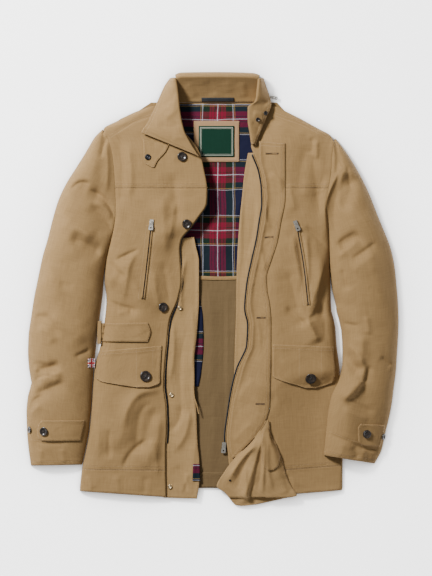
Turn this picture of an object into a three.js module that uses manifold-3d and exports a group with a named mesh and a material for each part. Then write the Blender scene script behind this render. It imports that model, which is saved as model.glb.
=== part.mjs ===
// A field jacket laid out flat on its back, front open, sleeves at its sides.
// Millimetres, +Z up. X runs across the chest, Y from hem to collar, Z away from the surface.
// "Right" and "left" are the wearer's: the right side lies at -X, the left side at +X.
import * as THREE from "three";
import { mergeVertices } from "three/addons/utils/BufferGeometryUtils.js";
import Module from "manifold-3d";

const wasm = await Module();
wasm.setup();

// Driving dimensions
const SHELL = 1.6; // wall of the outer cotton, two layers pressed together
const LINING = 1.2; // wall of the lining
const COLLAR = 2.2; // wall of the interlined collar
const SEAM = 0.3; // gap between neighbouring pieces
const LAP = 0.5; // gap under a piece that is sewn on top of another
const CELL = 26; // largest length of a facet along a panel
const BUTTON = 22; // coat button, across
const CUFF_BUTTON = 17; // sleeve button, across
const SNAP = 9; // press stud, across
const THROAT_SNAP = 12;
const CHAIN = 5; // width of the main zip's chain
const CHAIN_THICK = 1.4;
const HANGER_DEPTH = 7; // width of the tape of the hanging loop
// A zip's slider, with an arch lengthwise over the pull's bar
const SLIDER = { wide: 8, long: 11, thick: 2.4, arch: 2.4, span: 3.6, window: 4.1, high: 5 };
const BAR = 0.55; // radius of the pull's bar, and half the thickness of the pull
const BAR_HIGH = SLIDER.thick + 0.2 + BAR; // height of the bar's axis over the slider's base
const PULL = { wide: 9, long: 16, arm: 3.1, slot: 1.8, slotEnd: 5.2, hole: 1.6 };

// Colours of the cloths and trims
const FINISH = {
  shell: { color: 0xa88a62, roughness: 0.85, metalness: 0 },
  facing: { color: 0xb2946b, roughness: 0.85, metalness: 0 },
  tartan: { color: 0x3a2340, roughness: 0.9, metalness: 0 },
  lining: { color: 0x7d6747, roughness: 0.9, metalness: 0 },
  label: { color: 0x15412d, roughness: 0.7, metalness: 0 },
  label_mount: { color: 0xa9825a, roughness: 0.7, metalness: 0 },
  tape: { color: 0x14181a, roughness: 0.7, metalness: 0 },
  button: { color: 0x2a2622, roughness: 0.35, metalness: 0 },
  metal: { color: 0xc9c0b0, roughness: 0.3, metalness: 1 },
  flag: { color: 0xb0323a, roughness: 0.8, metalness: 0 },
};

// Each front as rows from hem to neck. A row runs straight from the outer edge (xo, yo), which is
// side seam, armhole and shoulder in turn, to the inner edge (xi, yi), which is the zip and neckline.
// edge, crown and inner are heights of the cloth at the outer edge, between, and at the inner edge;
// roll is how far in from the outer edge the crown is reached; shelf is the strip a sleeve lies on.
const FRONT_RIGHT = [
  { xo: -265, yo: -406, xi: -92, yi: -418, edge: 3, crown: 16, roll: 42, inner: 12, shelf: 0 },
  { xo: -260, yo: -362, xi: -93, yi: -364, edge: 3, crown: 18, roll: 42, inner: 13, shelf: 0 },
  { xo: -252, yo: -324, xi: -93, yi: -322, edge: 3, crown: 20, roll: 40, inner: 14, shelf: 0 },
  { xo: -245, yo: -284, xi: -91, yi: -284, edge: 3, crown: 22, roll: 38, inner: 14, shelf: 0 },
  { xo: -241, yo: -240, xi: -92, yi: -240, edge: 3, crown: 22, roll: 36, inner: 14, shelf: 0 },
  { xo: -238, yo: -194, xi: -97, yi: -194, edge: 3, crown: 22, roll: 34, inner: 14, shelf: 0 },
  { xo: -234, yo: -156, xi: -95, yi: -156, edge: 3, crown: 22, roll: 34, inner: 15, shelf: 0 },
  { xo: -222, yo: -112, xi: -91, yi: -112, edge: 3, crown: 22, roll: 34, inner: 15, shelf: 0 },
  { xo: -215, yo: -68, xi: -86, yi: -66, edge: 3, crown: 23, roll: 34, inner: 15, shelf: 0 },
  { xo: -211, yo: -22, xi: -69, yi: -22, edge: 3, crown: 24, roll: 34, inner: 16, shelf: 0 },
  { xo: -215, yo: 16, xi: -62, yi: 16, edge: 4, crown: 26, roll: 32, inner: 16, shelf: 0 },
  { xo: -212, yo: 52, xi: -64, yi: 54, edge: 8, crown: 27, roll: 32, inner: 16, shelf: 0 },
  { xo: -207, yo: 76, xi: -65, yi: 76, edge: 11, crown: 27, roll: 30, inner: 17, shelf: 0 },
  { xo: -202, yo: 96, xi: -62, yi: 96, edge: 13, crown: 28, roll: 30, inner: 20, shelf: 0 },
  { xo: -197, yo: 118, xi: -44, yi: 119, edge: 14, crown: 28, roll: 30, inner: 26, shelf: 0 },
  { xo: -194, yo: 140, xi: -28, yi: 141, edge: 14, crown: 28, roll: 30, inner: 30, shelf: 0 },
  { xo: -193, yo: 170, xi: -11, yi: 170, edge: 14, crown: 28, roll: 30, inner: 30, shelf: 0 },
  { xo: -194, yo: 200, xi: -10, yi: 200, edge: 14, crown: 28, roll: 30, inner: 29, shelf: 0 },
  { xo: -196, yo: 232, xi: -16, yi: 236, edge: 14, crown: 28, roll: 30, inner: 28, shelf: 0 },
  { xo: -199, yo: 264, xi: -23, yi: 266, edge: 12, crown: 27, roll: 30, inner: 26, shelf: 0 },
  { xo: -206, yo: 292, xi: -38, yi: 292, edge: 8, crown: 25, roll: 30, inner: 22, shelf: 0 },
  { xo: -212, yo: 314, xi: -54, yi: 310, edge: 3, crown: 22, roll: 30, inner: 18, shelf: 0 },
  { xo: -188, yo: 335, xi: -70, yi: 328, edge: 3, crown: 18, roll: 28, inner: 15, shelf: 0 },
  { xo: -156, yo: 351, xi: -88, yi: 348, edge: 3, crown: 14, roll: 24, inner: 12, shelf: 0 },
  { xo: -122, yo: 363, xi: -104, yi: 363, edge: 3, crown: 9, roll: 12, inner: 9, shelf: 0 },
];
const FRONT_LEFT = [
  { xo: 261, yo: -404, xi: 62, yi: -420, edge: 3, crown: 14, roll: 60, inner: 8, shelf: 10 },
  { xo: 261, yo: -354, xi: 36, yi: -372, edge: 3, crown: 18, roll: 50, inner: 9, shelf: 46 },
  { xo: 261, yo: -328, xi: 32, yi: -332, edge: 3, crown: 20, roll: 46, inner: 10, shelf: 46 },
  { xo: 261, yo: -294, xi: 29, yi: -298, edge: 3, crown: 22, roll: 42, inner: 11, shelf: 46 },
  { xo: 259, yo: -248, xi: 35, yi: -248, edge: 3, crown: 24, roll: 38, inner: 12, shelf: 42 },
  { xo: 257, yo: -200, xi: 43, yi: -200, edge: 3, crown: 24, roll: 36, inner: 13, shelf: 24 },
  { xo: 255, yo: -162, xi: 53, yi: -162, edge: 3, crown: 24, roll: 36, inner: 14, shelf: 0 },
  { xo: 249, yo: -114, xi: 73, yi: -114, edge: 3, crown: 24, roll: 36, inner: 15, shelf: 0 },
  { xo: 246, yo: -74, xi: 75, yi: -74, edge: 3, crown: 24, roll: 36, inner: 16, shelf: 0 },
  { xo: 238, yo: -40, xi: 69, yi: -40, edge: 3, crown: 25, roll: 36, inner: 16, shelf: 0 },
  { xo: 237, yo: 6, xi: 73, yi: 6, edge: 4, crown: 26, roll: 36, inner: 16, shelf: 0 },
  { xo: 235, yo: 52, xi: 82, yi: 52, edge: 8, crown: 27, roll: 34, inner: 17, shelf: 0 },
  { xo: 234, yo: 96, xi: 92, yi: 96, edge: 12, crown: 28, roll: 32, inner: 18, shelf: 0 },
  { xo: 232, yo: 134, xi: 98, yi: 134, edge: 14, crown: 28, roll: 30, inner: 19, shelf: 0 },
  { xo: 228, yo: 168, xi: 103, yi: 168, edge: 14, crown: 28, roll: 30, inner: 20, shelf: 0 },
  { xo: 233, yo: 200, xi: 102, yi: 200, edge: 14, crown: 28, roll: 30, inner: 20, shelf: 0 },
  { xo: 238, yo: 232, xi: 97, yi: 232, edge: 14, crown: 28, roll: 30, inner: 19, shelf: 0 },
  { xo: 240, yo: 264, xi: 85, yi: 264, edge: 12, crown: 26, roll: 30, inner: 17, shelf: 0 },
  { xo: 243, yo: 290, xi: 78, yi: 284, edge: 6, crown: 24, roll: 30, inner: 15, shelf: 0 },
  { xo: 236, yo: 306, xi: 85, yi: 302, edge: 3, crown: 21, roll: 30, inner: 14, shelf: 0 },
  { xo: 212, yo: 319, xi: 94, yi: 320, edge: 3, crown: 18, roll: 28, inner: 13, shelf: 0 },
  { xo: 184, yo: 335, xi: 102, yi: 336, edge: 3, crown: 15, roll: 26, inner: 11, shelf: 0 },
  { xo: 152, yo: 351, xi: 110, yi: 352, edge: 3, crown: 11, roll: 20, inner: 9, shelf: 0 },
  { xo: 130, yo: 362, xi: 117, yi: 363, edge: 3, crown: 8, roll: 10, inner: 8, shelf: 0 },
];
const HEM_SEAM = 1; // the row on which the hem band is sewn on
const YOKE_SEAM_RIGHT = 17; // the rows on which the yokes are sewn on
const YOKE_SEAM_LEFT = 15;
const SHELF_HIGH = 8; // height of the cloth that the left sleeve presses down

// Each sleeve as rows from shoulder to cuff: the outer edge (xo, yo), and the inner edge by its yi
// and its gap to the body's outer edge there. A gap below 0 laps over the body.
const SLEEVE_RIGHT = [
  { xo: -219, yo: 317, yi: 309, gap: 0.9, crown: 9 },
  { xo: -234, yo: 302, yi: 300, gap: 0.9, crown: 19 },
  { xo: -252, yo: 272, yi: 278, gap: 0.9, crown: 27 },
  { xo: -272, yo: 240, yi: 250, gap: 0.9, crown: 32 },
  { xo: -292, yo: 208, yi: 222, gap: 0.9, crown: 35 },
  { xo: -307, yo: 176, yi: 194, gap: 0.9, crown: 37 },
  { xo: -318, yo: 140, yi: 164, gap: 0.9, crown: 38 },
  { xo: -328, yo: 100, yi: 130, gap: 0.9, crown: 38 },
  { xo: -339, yo: 62, yi: 94, gap: 0.9, crown: 38 },
  { xo: -347, yo: 24, yi: 56, gap: 0.9, crown: 38 },
  { xo: -356, yo: -20, yi: 14, gap: 2, crown: 38 },
  { xo: -362, yo: -60, yi: -26, gap: 9, crown: 37 },
  { xo: -367, yo: -96, yi: -68, gap: 11, crown: 36 },
  { xo: -368, yo: -128, yi: -104, gap: 11, crown: 36 },
  { xo: -366, yo: -160, yi: -136, gap: 5, crown: 35 },
  { xo: -361, yo: -190, yi: -172, gap: 3.2, crown: 34 },
  { xo: -368, yo: -216, yi: -204, gap: 3, crown: 33 },
  { xo: -371, yo: -248, yi: -240, gap: 3, crown: 31 },
  { xo: -370, yo: -284, yi: -278, gap: 3.6, crown: 28 },
  { xo: -367, yo: -320, yi: -318, gap: 4.2, crown: 24 },
  { xo: -362, yo: -355, yi: -353, gap: 4, crown: 19 },
];
const SLEEVE_LEFT = [
  { xo: 247, yo: 299, yi: 293, gap: 0.9, crown: 9 },
  { xo: 262, yo: 280, yi: 282, gap: 0.9, crown: 19 },
  { xo: 282, yo: 250, yi: 262, gap: 0.9, crown: 27 },
  { xo: 300, yo: 218, yi: 236, gap: 0.9, crown: 32 },
  { xo: 316, yo: 184, yi: 208, gap: 0.9, crown: 35 },
  { xo: 330, yo: 148, yi: 176, gap: 0.9, crown: 37 },
  { xo: 344, yo: 114, yi: 142, gap: 0.9, crown: 38 },
  { xo: 357, yo: 80, yi: 108, gap: 0.9, crown: 38 },
  { xo: 365, yo: 44, yi: 72, gap: 0.9, crown: 38 },
  { xo: 369, yo: 6, yi: 36, gap: 0.9, crown: 38 },
  { xo: 372, yo: -32, yi: -2, gap: 2.8, crown: 38 },
  { xo: 373, yo: -68, yi: -34, gap: 10, crown: 37 },
  { xo: 372, yo: -100, yi: -66, gap: 10, crown: 36 },
  { xo: 370, yo: -132, yi: -96, gap: 12, crown: 36 },
  { xo: 368, yo: -164, yi: -128, gap: 10, crown: 35 },
  { xo: 364, yo: -196, yi: -160, gap: 4.6, crown: 35 },
  { xo: 360, yo: -228, yi: -184, gap: -3, crown: 35 },
  { xo: 354, yo: -260, yi: -216, gap: -19, crown: 34 },
  { xo: 347, yo: -288, yi: -252, gap: -28, crown: 31 },
  { xo: 339, yo: -324, yi: -288, gap: -33, crown: 27 },
  { xo: 325, yo: -351, yi: -334, gap: -38, crown: 22 },
];
const SLEEVE_EDGE = 3; // height of a sleeve's folded edge
const SLEEVE_LIFT = 10.4; // how far the left sleeve rises to lie on the body
const LIFT_FROM = -126; // the lift starts at this y ...
const LIFT_FULL = -166; // ... and is whole below this one
const LIFT_REACH = 26; // it starts this far outside the body's edge
const LIFT_RAMP = 21; // and takes this width

// The main folds, as soft ridges (high above 0) or troughs (high below 0) from one point to another.
const FOLDS_RIGHT = [
  { x0: -196, y0: 60, x1: -120, y1: -40, wide: 16, high: 5 },
  { x0: -205, y0: 20, x1: -150, y1: -60, wide: 14, high: -4 },
  { x0: -186, y0: 270, x1: -190, y1: 110, wide: 13, high: 4 },
  { x0: -80, y0: 236, x1: -66, y1: 120, wide: 12, high: -7 },
  { x0: -100, y0: 190, x1: -92, y1: 60, wide: 14, high: 4 },
  { x0: -150, y0: -216, x1: -196, y1: -330, wide: 20, high: 4 },
  { x0: -110, y0: -230, x1: -150, y1: -340, wide: 16, high: -4 },
  { x0: -104, y0: -250, x1: -112, y1: -350, wide: 13, high: 4 },
];
const FOLDS_LEFT = [
  { x0: 232, y0: 70, x1: 190, y1: -60, wide: 13, high: 6 },
  { x0: 190, y0: -60, x1: 214, y1: -112, wide: 12, high: 5 },
  { x0: 236, y0: 20, x1: 214, y1: -70, wide: 12, high: -5 },
  { x0: 150, y0: 40, x1: 176, y1: -60, wide: 12, high: -4 },
  { x0: 196, y0: 290, x1: 214, y1: 150, wide: 14, high: -4 },
  { x0: 176, y0: -216, x1: 190, y1: -370, wide: 22, high: 4 },
  { x0: 150, y0: -240, x1: 160, y1: -340, wide: 14, high: -4 },
];
const FOLDS_SLEEVE_RIGHT = [
  { x0: -276, y0: 208, x1: -196, y1: 176, wide: 14, high: -5 },
  { x0: -282, y0: 110, x1: -216, y1: 66, wide: 13, high: -6 },
  { x0: -300, y0: 140, x1: -232, y1: 96, wide: 14, high: 4 },
  { x0: -330, y0: -50, x1: -250, y1: -110, wide: 15, high: 4 },
  { x0: -358, y0: -170, x1: -300, y1: -150, wide: 9, high: -6 },
  { x0: -352, y0: -186, x1: -296, y1: -168, wide: 10, high: 5 },
  { x0: -356, y0: -214, x1: -290, y1: -186, wide: 10, high: -5 },
];
const FOLDS_SLEEVE_LEFT = [
  { x0: 270, y0: 244, x1: 236, y1: 186, wide: 11, high: 6 },
  { x0: 284, y0: 230, x1: 262, y1: 150, wide: 15, high: -6 },
  { x0: 250, y0: 80, x1: 300, y1: 110, wide: 14, high: -5 },
  { x0: 276, y0: 30, x1: 330, y1: 70, wide: 15, high: 4 },
  { x0: 300, y0: -90, x1: 296, y1: -160, wide: 12, high: 4 },
  { x0: 262, y0: -130, x1: 300, y1: -172, wide: 12, high: -5 },
  { x0: 300, y0: -180, x1: 256, y1: -226, wide: 12, high: 5 },
];

// The strips inside the front edges, from hem to chest: left side (xa, ya), right side (xb, yb).
const FACING_RIGHT = [
  { xa: -97, ya: -419, xb: -30, yb: -421 },
  { xa: -97, ya: -384, xb: -25, yb: -384 },
  { xa: -97, ya: -348, xb: -25, yb: -348 },
  { xa: -95, ya: -304, xb: -29, yb: -304 },
  { xa: -94, ya: -254, xb: -31, yb: -254 },
  { xa: -100, ya: -194, xb: -35, yb: -194 },
  { xa: -98, ya: -144, xb: -35, yb: -144 },
  { xa: -94, ya: -104, xb: -31, yb: -104 },
  { xa: -89, ya: -64, xb: -28, yb: -64 },
  { xa: -73, ya: -24, xb: -26, yb: -24 },
  { xa: -65, ya: 16, xb: -26, yb: 16 },
  { xa: -67, ya: 52, xb: -26, yb: 52 },
  { xa: -67, ya: 80, xb: -32, yb: 82 },
  { xa: -62, ya: 99, xb: -36, yb: 102 },
];
const FACING_LEFT = [
  { xa: 44, ya: -172, xb: 55, yb: -172 },
  { xa: 45, ya: -144, xb: 65, yb: -144 },
  { xa: 46, ya: -107, xb: 78, yb: -107 },
  { xa: 48, ya: -52, xb: 73, yb: -52 },
  { xa: 49, ya: 22, xb: 78, yb: 22 },
  { xa: 51, ya: 76, xb: 90, yb: 76 },
  { xa: 55, ya: 135, xb: 101, yb: 135 },
  { xa: 60, ya: 183, xb: 106, yb: 183 },
  { xa: 65, ya: 231, xb: 99, yb: 231 },
  { xa: 72, ya: 270, xb: 84, yb: 270 },
];
const LINING_EDGE_RIGHT = [
  { xa: -52, ya: -196, xb: -27, yb: -197 },
  { xa: -48, ya: -164, xb: -21, yb: -164 },
  { xa: -44, ya: -116, xb: -17, yb: -116 },
  { xa: -44, ya: -62, xb: -18, yb: -62 },
  { xa: -44, ya: -10, xb: -25, yb: -14 },
];
const STORM_FLAP = [
  { xa: 40, ya: -341, xb: 48, yb: -337 },
  { xa: 35, ya: -320, xb: 68, yb: -317 },
  { xa: 34, ya: -294, xb: 91, yb: -292 },
  { xa: 37, ya: -264, xb: 110, yb: -260 },
  { xa: 41, ya: -234, xb: 116, yb: -234 },
  { xa: 51, ya: -194, xb: 117, yb: -194 },
  { xa: 62, ya: -154, xb: 118, yb: -154 },
  { xa: 78, ya: -114, xb: 118, yb: -114 },
  { xa: 80, ya: -74, xb: 118, yb: -68 },
  { xa: 74, ya: -34, xb: 115, yb: -30 },
  { xa: 77, ya: -4, xb: 110, yb: -4 },
  { xa: 83, ya: 26, xb: 109, yb: 22 },
  { xa: 90, ya: 60, xb: 119, yb: 56 },
  { xa: 97, ya: 96, xb: 131, yb: 94 },
  { xa: 104, ya: 136, xb: 138, yb: 132 },
  { xa: 108, ya: 176, xb: 146, yb: 176 },
  { xa: 105, ya: 216, xb: 147, yb: 216 },
  { xa: 95, ya: 256, xb: 147, yb: 256 },
  { xa: 94, ya: 293, xb: 147, yb: 289 },
];
// The lower corner of the left front, which is turned out: rise is its height over what it lies on.
const TURNED_CORNER = [
  { xa: 58, ya: -436, xb: 88, yb: -433, rise: 3 },
  { xa: 47, ya: -434, xb: 142, yb: -421, rise: 3 },
  { xa: 26, ya: -410, xb: 170, yb: -414, rise: 4 },
  { xa: 9, ya: -395, xb: 159, yb: -396, rise: 4 },
  { xa: 25, ya: -366, xb: 147, yb: -368, rise: 6 },
  { xa: 46, ya: -338, xb: 139, yb: -338, rise: 6 },
  { xa: 71, ya: -315, xb: 129, yb: -318, rise: 5 },
  { xa: 93, ya: -289, xb: 118, yb: -296, rise: 4 },
  { xa: 108, ya: -264, xb: 114, yb: -264, rise: 3 },
];
const CORNER_PLEATS = [
  { x0: 104, y0: -285, x1: 58, y1: -440, wide: 8, high: 5 },
  { x0: 100, y0: -300, x1: 78, y1: -440, wide: 6, high: -4 },
  { x0: 112, y0: -280, x1: 150, y1: -400, wide: 11, high: 4 },
  { x0: 92, y0: -300, x1: 24, y1: -390, wide: 12, high: 5 },
];
const FLAP_RIGHT = [
  { xa: -150, ya: -198, xb: -126, yb: -198 },
  { xa: -190, ya: -192, xb: -106, yb: -191 },
  { xa: -225, ya: -185, xb: -103, yb: -186 },
  { xa: -233, ya: -176, xb: -103, yb: -176 },
  { xa: -228, ya: -150, xb: -102, yb: -150 },
  { xa: -219, ya: -125, xb: -100, yb: -115 },
];
const FLAP_LEFT = [
  { xa: 188, ya: -200, xb: 206, yb: -200 },
  { xa: 166, ya: -193, xb: 224, yb: -195 },
  { xa: 136, ya: -184, xb: 243, yb: -187 },
  { xa: 121, ya: -175, xb: 247, yb: -168 },
  { xa: 121, ya: -144, xb: 245, yb: -144 },
  { xa: 121, ya: -112, xb: 243, yb: -117 },
];
const WAIST_TAB = [
  { xa: -225, ya: -107, xb: -128, yb: -108 },
  { xa: -225, ya: -88, xb: -122, yb: -88 },
  { xa: -224, ya: -70, xb: -128, yb: -69 },
];
const THROAT_TAB = [
  { xa: -119, ya: 240, xb: -115, yb: 241 },
  { xa: -136, ya: 252, xb: -108, yb: 254 },
  { xa: -137, ya: 276, xb: -92, yb: 272 },
  { xa: -138, ya: 297, xb: -86, yb: 284 },
];
const CUFF_TAB_RIGHT = [
  { xa: -340, ya: -305, xb: -262, yb: -305 },
  { xa: -348, ya: -297, xb: -260, yb: -297 },
  { xa: -349, ya: -284, xb: -257, yb: -284 },
  { xa: -346, ya: -272, xb: -255, yb: -272 },
  { xa: -340, ya: -264, xb: -254, yb: -264 },
];
const CUFF_TAB_LEFT = [
  { xa: 298, ya: -314, xb: 336, yb: -318 },
  { xa: 292, ya: -306, xb: 338, yb: -310 },
  { xa: 291, ya: -292, xb: 341, yb: -296 },
  { xa: 291, ya: -280, xb: 344, yb: -284 },
  { xa: 296, ya: -271, xb: 346, yb: -274 },
];
const CHEST_ZIP_RIGHT = [
  { xa: -139.4, ya: -22, xb: -135.8, yb: -22 },
  { xa: -131, ya: 50, xb: -127.4, yb: 50 },
  { xa: -123, ya: 124, xb: -119.4, yb: 124 },
];
const CHEST_ZIP_LEFT = [
  { xa: 190.2, ya: -34, xb: 193.8, yb: -34 },
  { xa: 182, ya: 40, xb: 185.6, yb: 40 },
  { xa: 168.4, ya: 121, xb: 172, yb: 121 },
];
// The rounded end of the storm flap, which lies on the turned-out corner.
const FLAP_END = [
  { xa: 110, ya: -364, xb: 124, yb: -363 },
  { xa: 103, ya: -354, xb: 134, yb: -352 },
  { xa: 99, ya: -336, xb: 137, yb: -336 },
  { xa: 98, ya: -312, xb: 130, yb: -314 },
  { xa: 99, ya: -292, xb: 119, yb: -294 },
  { xa: 106, ya: -278, xb: 112, yb: -278 },
];
const FLAG_TAG = [
  { xa: -247, ya: -159, xb: -235.4, yb: -159 },
  { xa: -247, ya: -141, xb: -234.6, yb: -141 },
];

// The two ends of the collar, from the back neck to the point: the fold (bx, by, bz), the free edge
// (cx, cy, cz), and the height of the foot that stands under the fold.
const COLLAR_RIGHT = [
  { bx: -71, by: 419, bz: 36, cx: -84, cy: 420, cz: 7, foot: 4 },
  { bx: -68, by: 400, bz: 38, cx: -95, cy: 405, cz: 5, foot: 4 },
  { bx: -65.6, by: 380, bz: 38, cx: -104, cy: 386, cz: 6, foot: 4 },
  { bx: -64, by: 360, bz: 38, cx: -112, cy: 367, cz: 13, foot: 8 },
  { bx: -61, by: 340, bz: 39, cx: -121, cy: 347, cz: 19, foot: 18 },
  { bx: -55, by: 314, bz: 40, cx: -131, cy: 327, cz: 26, foot: 26 },
  { bx: -42, by: 288, bz: 40, cx: -138, cy: 317, cz: 31, foot: 30 },
  { bx: -25, by: 262, bz: 38, cx: -141, cy: 310, cz: 33, foot: 32 },
];
const COLLAR_LEFT = [
  { bx: 91, by: 417, bz: 36, cx: 103, cy: 420, cz: 7, foot: 4 },
  { bx: 89, by: 396, bz: 37, cx: 110, cy: 400, cz: 5, foot: 4 },
  { bx: 86, by: 374, bz: 36, cx: 117, cy: 379, cz: 9, foot: 4 },
  { bx: 71, by: 359, bz: 35, cx: 119, cy: 366, cz: 16, foot: 5 },
  { bx: 71, by: 336, bz: 33, cx: 110, cy: 342, cz: 21, foot: 5 },
  { bx: 75, by: 308, bz: 30, cx: 98, cy: 314, cz: 22, foot: 10 },
  { bx: 78, by: 286, bz: 27, cx: 88, cy: 287, cz: 22, foot: 18 },
];
const COLLAR_BEND = 4; // radius of the collar's fold
// The collar's back, from its right to its left end: neck seam, top edge and rear edge.
const COLLAR_BACK = [
  { ax: -64, ay: 371, bx: -69.6, by: 417, cx: -71, cy: 426, high: 34 },
  { ax: -56, ay: 371, bx: -58, by: 420, cx: -59, cy: 430, high: 37 },
  { ax: 12, ay: 371, bx: 12, by: 421, cx: 12, cy: 431, high: 39 },
  { ax: 76, ay: 371, bx: 79, by: 419, cx: 80, cy: 429, high: 37 },
  { ax: 83.7, ay: 371, bx: 90, by: 416, cx: 93, cy: 425, high: 34 },
];
const NECK_FOOT = 4.4; // height of the neck seam

const LABEL = { x: 9, y: 293, wide: 91, deep: 82, margin: 10 };
const LINING_SPLIT = 21; // y at which the tartan half of the back lining ends
const ZIP_STOP_RIGHT = -310; // y at which the chains end, above the hem
const ZIP_STOP_LEFT = -308;
const ZIP_TOP_RIGHT = 196;
const ZIP_TOP_LEFT = 268;

const root = new THREE.Group();

// Adds a named mesh to the jacket.
function add(name, geometry, finish) {
  const mesh = new THREE.Mesh(geometry, new THREE.MeshStandardMaterial(FINISH[finish]));
  mesh.name = name;
  root.add(mesh);
  return mesh;
}

const clamp = (v, low, high) => Math.min(Math.max(v, low), high);
const mix = (a, b, f) => a + (b - a) * f;
const ease = (f) => {
  const c = clamp(f, 0, 1);
  return c * c * (3 - 2 * c);
};

// A column of a table at a place between its rows, smooth and without overshoot.
function column(rows, key, t) {
  const last = rows.length - 1;
  const i = clamp(Math.floor(t), 0, last - 1);
  const f = t - i;
  const value = (k) => rows[clamp(k, 0, last)][key];
  const slope = (k) => {
    if (k === 0 || k === last) return value(Math.min(k + 1, last)) - value(Math.max(k - 1, 0));
    const before = value(k) - value(k - 1);
    const after = value(k + 1) - value(k);
    return before * after > 0 ? (2 * before * after) / (before + after) : 0;
  };
  const f2 = f * f;
  const f3 = f2 * f;
  return (
    value(i) * (2 * f3 - 3 * f2 + 1) +
    slope(i) * (f3 - 2 * f2 + f) +
    value(i + 1) * (3 * f2 - 2 * f3) +
    slope(i + 1) * (f3 - f2)
  );
}

// The place in a table at which a column that only rises or only falls has a value.
function placeOf(rows, key, wanted, from = 0, to = rows.length - 1) {
  const rising = column(rows, key, to) > column(rows, key, from);
  let low = from;
  let high = to;
  for (let k = 0; k < 40; k += 1) {
    const half = (low + high) / 2;
    if (column(rows, key, half) < wanted === rising) low = half;
    else high = half;
  }
  return (low + high) / 2;
}

// The height that a list of folds adds at a point.
function foldsAt(folds, x, y) {
  let sum = 0;
  for (const fold of folds) {
    const dx = fold.x1 - fold.x0;
    const dy = fold.y1 - fold.y0;
    const s = clamp(((x - fold.x0) * dx + (y - fold.y0) * dy) / (dx * dx + dy * dy), 0, 1);
    const away = Math.hypot(x - fold.x0 - s * dx, y - fold.y0 - s * dy);
    const taper = ease(s / 0.3) * ease((1 - s) / 0.3);
    sum += fold.high * taper * Math.exp(-((away / fold.wide) ** 2));
  }
  return sum;
}

// A point of a front's outer face: u from outer edge to inner edge, t along the rows.
function frontPoint(rows, folds, u, t) {
  const at = (key) => column(rows, key, t);
  const [xo, yo, xi, yi] = [at("xo"), at("yo"), at("xi"), at("yi")];
  const x = mix(xo, xi, u);
  const y = mix(yo, yi, u);
  const width = Math.hypot(xi - xo, yi - yo);
  const fromOuter = u * width;
  const fromInner = width - fromOuter;
  const rise = Math.sqrt(1 - (1 - clamp(fromOuter / at("roll"), 0, 1)) ** 2);
  let z = mix(at("edge"), at("crown"), rise);
  z = mix(at("inner"), z, ease(fromInner / 60));
  z += foldsAt(folds, x, y) * ease(fromOuter / 24) * ease((fromInner + 8) / 30);
  const shelf = at("shelf");
  const pressed = SHELF_HIGH + 30 * ease((fromOuter - shelf) / 60);
  return [x, y, mix(z, Math.min(z, pressed), clamp(shelf / 20, 0, 1))];
}

// The place on a front (u, t) that lies over a point of the surface.
function overFront(rows, x, y) {
  let low = 0;
  let high = rows.length - 1;
  const share = (t) =>
    clamp((x - column(rows, "xo", t)) / (column(rows, "xi", t) - column(rows, "xo", t)), 0, 1);
  for (let k = 0; k < 30; k += 1) {
    const half = (low + high) / 2;
    const line = mix(column(rows, "yo", half), column(rows, "yi", half), share(half));
    if (line < y) low = half;
    else high = half;
  }
  return [share(low), low];
}

const frontHeight = (rows, folds) => (x, y) => frontPoint(rows, folds, ...overFront(rows, x, y))[2];
const rightHeight = frontHeight(FRONT_RIGHT, FOLDS_RIGHT);
const leftHeight = frontHeight(FRONT_LEFT, FOLDS_LEFT);

// The body's outer edge at a height y: its x and how high the front's edge lies there.
function bodyEdge(rows, y) {
  const t = placeOf(rows, "yo", y);
  return { x: column(rows, "xo", t), z: column(rows, "edge", t) };
}

// How far the left sleeve is lifted off the surface, to lie on the body.
function leftLift(x, y) {
  const inward = (bodyEdge(FRONT_LEFT, y).x + LIFT_REACH - x) / LIFT_RAMP;
  return SLEEVE_LIFT * ease(inward) * ease((LIFT_FROM - y) / (LIFT_FROM - LIFT_FULL));
}
const noLift = () => 0;

// A closed wall from a grid of outer points and the inner points under them.
function wall(outer, inner) {
  const rows = outer.length;
  const columns = outer[0].length;
  const index = (k, i, side) => side * rows * columns + k * columns + i;
  const positions = [...outer.flat(), ...inner.flat()].flat();
  const triangles = [];
  const quad = (a, b, c, d) => triangles.push(a, b, c, a, c, d);
  for (let k = 0; k + 1 < rows; k += 1) {
    for (let i = 0; i + 1 < columns; i += 1) {
      quad(index(k, i, 0), index(k, i + 1, 0), index(k + 1, i + 1, 0), index(k + 1, i, 0));
      quad(index(k, i, 1), index(k + 1, i, 1), index(k + 1, i + 1, 1), index(k, i + 1, 1));
    }
    quad(index(k, 0, 0), index(k + 1, 0, 0), index(k + 1, 0, 1), index(k, 0, 1));
    const end = columns - 1;
    quad(index(k, end, 0), index(k, end, 1), index(k + 1, end, 1), index(k + 1, end, 0));
  }
  for (let i = 0; i + 1 < columns; i += 1) {
    quad(index(0, i, 0), index(0, i, 1), index(0, i + 1, 1), index(0, i + 1, 0));
    const end = rows - 1;
    quad(index(end, i, 0), index(end, i + 1, 0), index(end, i + 1, 1), index(end, i, 1));
  }
  if (volumeOf(positions, triangles) < 0) {
    for (let k = 0; k < triangles.length; k += 3) {
      [triangles[k], triangles[k + 1]] = [triangles[k + 1], triangles[k]];
    }
  }
  const geometry = new THREE.BufferGeometry();
  geometry.setAttribute("position", new THREE.Float32BufferAttribute(positions, 3));
  geometry.setIndex(triangles);
  geometry.computeVertexNormals();
  return geometry;
}

// Signed volume inside a list of triangles.
function volumeOf(positions, triangles) {
  let sum = 0;
  for (let k = 0; k < triangles.length; k += 3) {
    const [a, b, c] = [0, 1, 2].map((j) =>
      new THREE.Vector3().fromArray(positions, 3 * triangles[k + j]),
    );
    sum += a.dot(b.cross(c)) / 6;
  }
  return sum;
}

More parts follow.
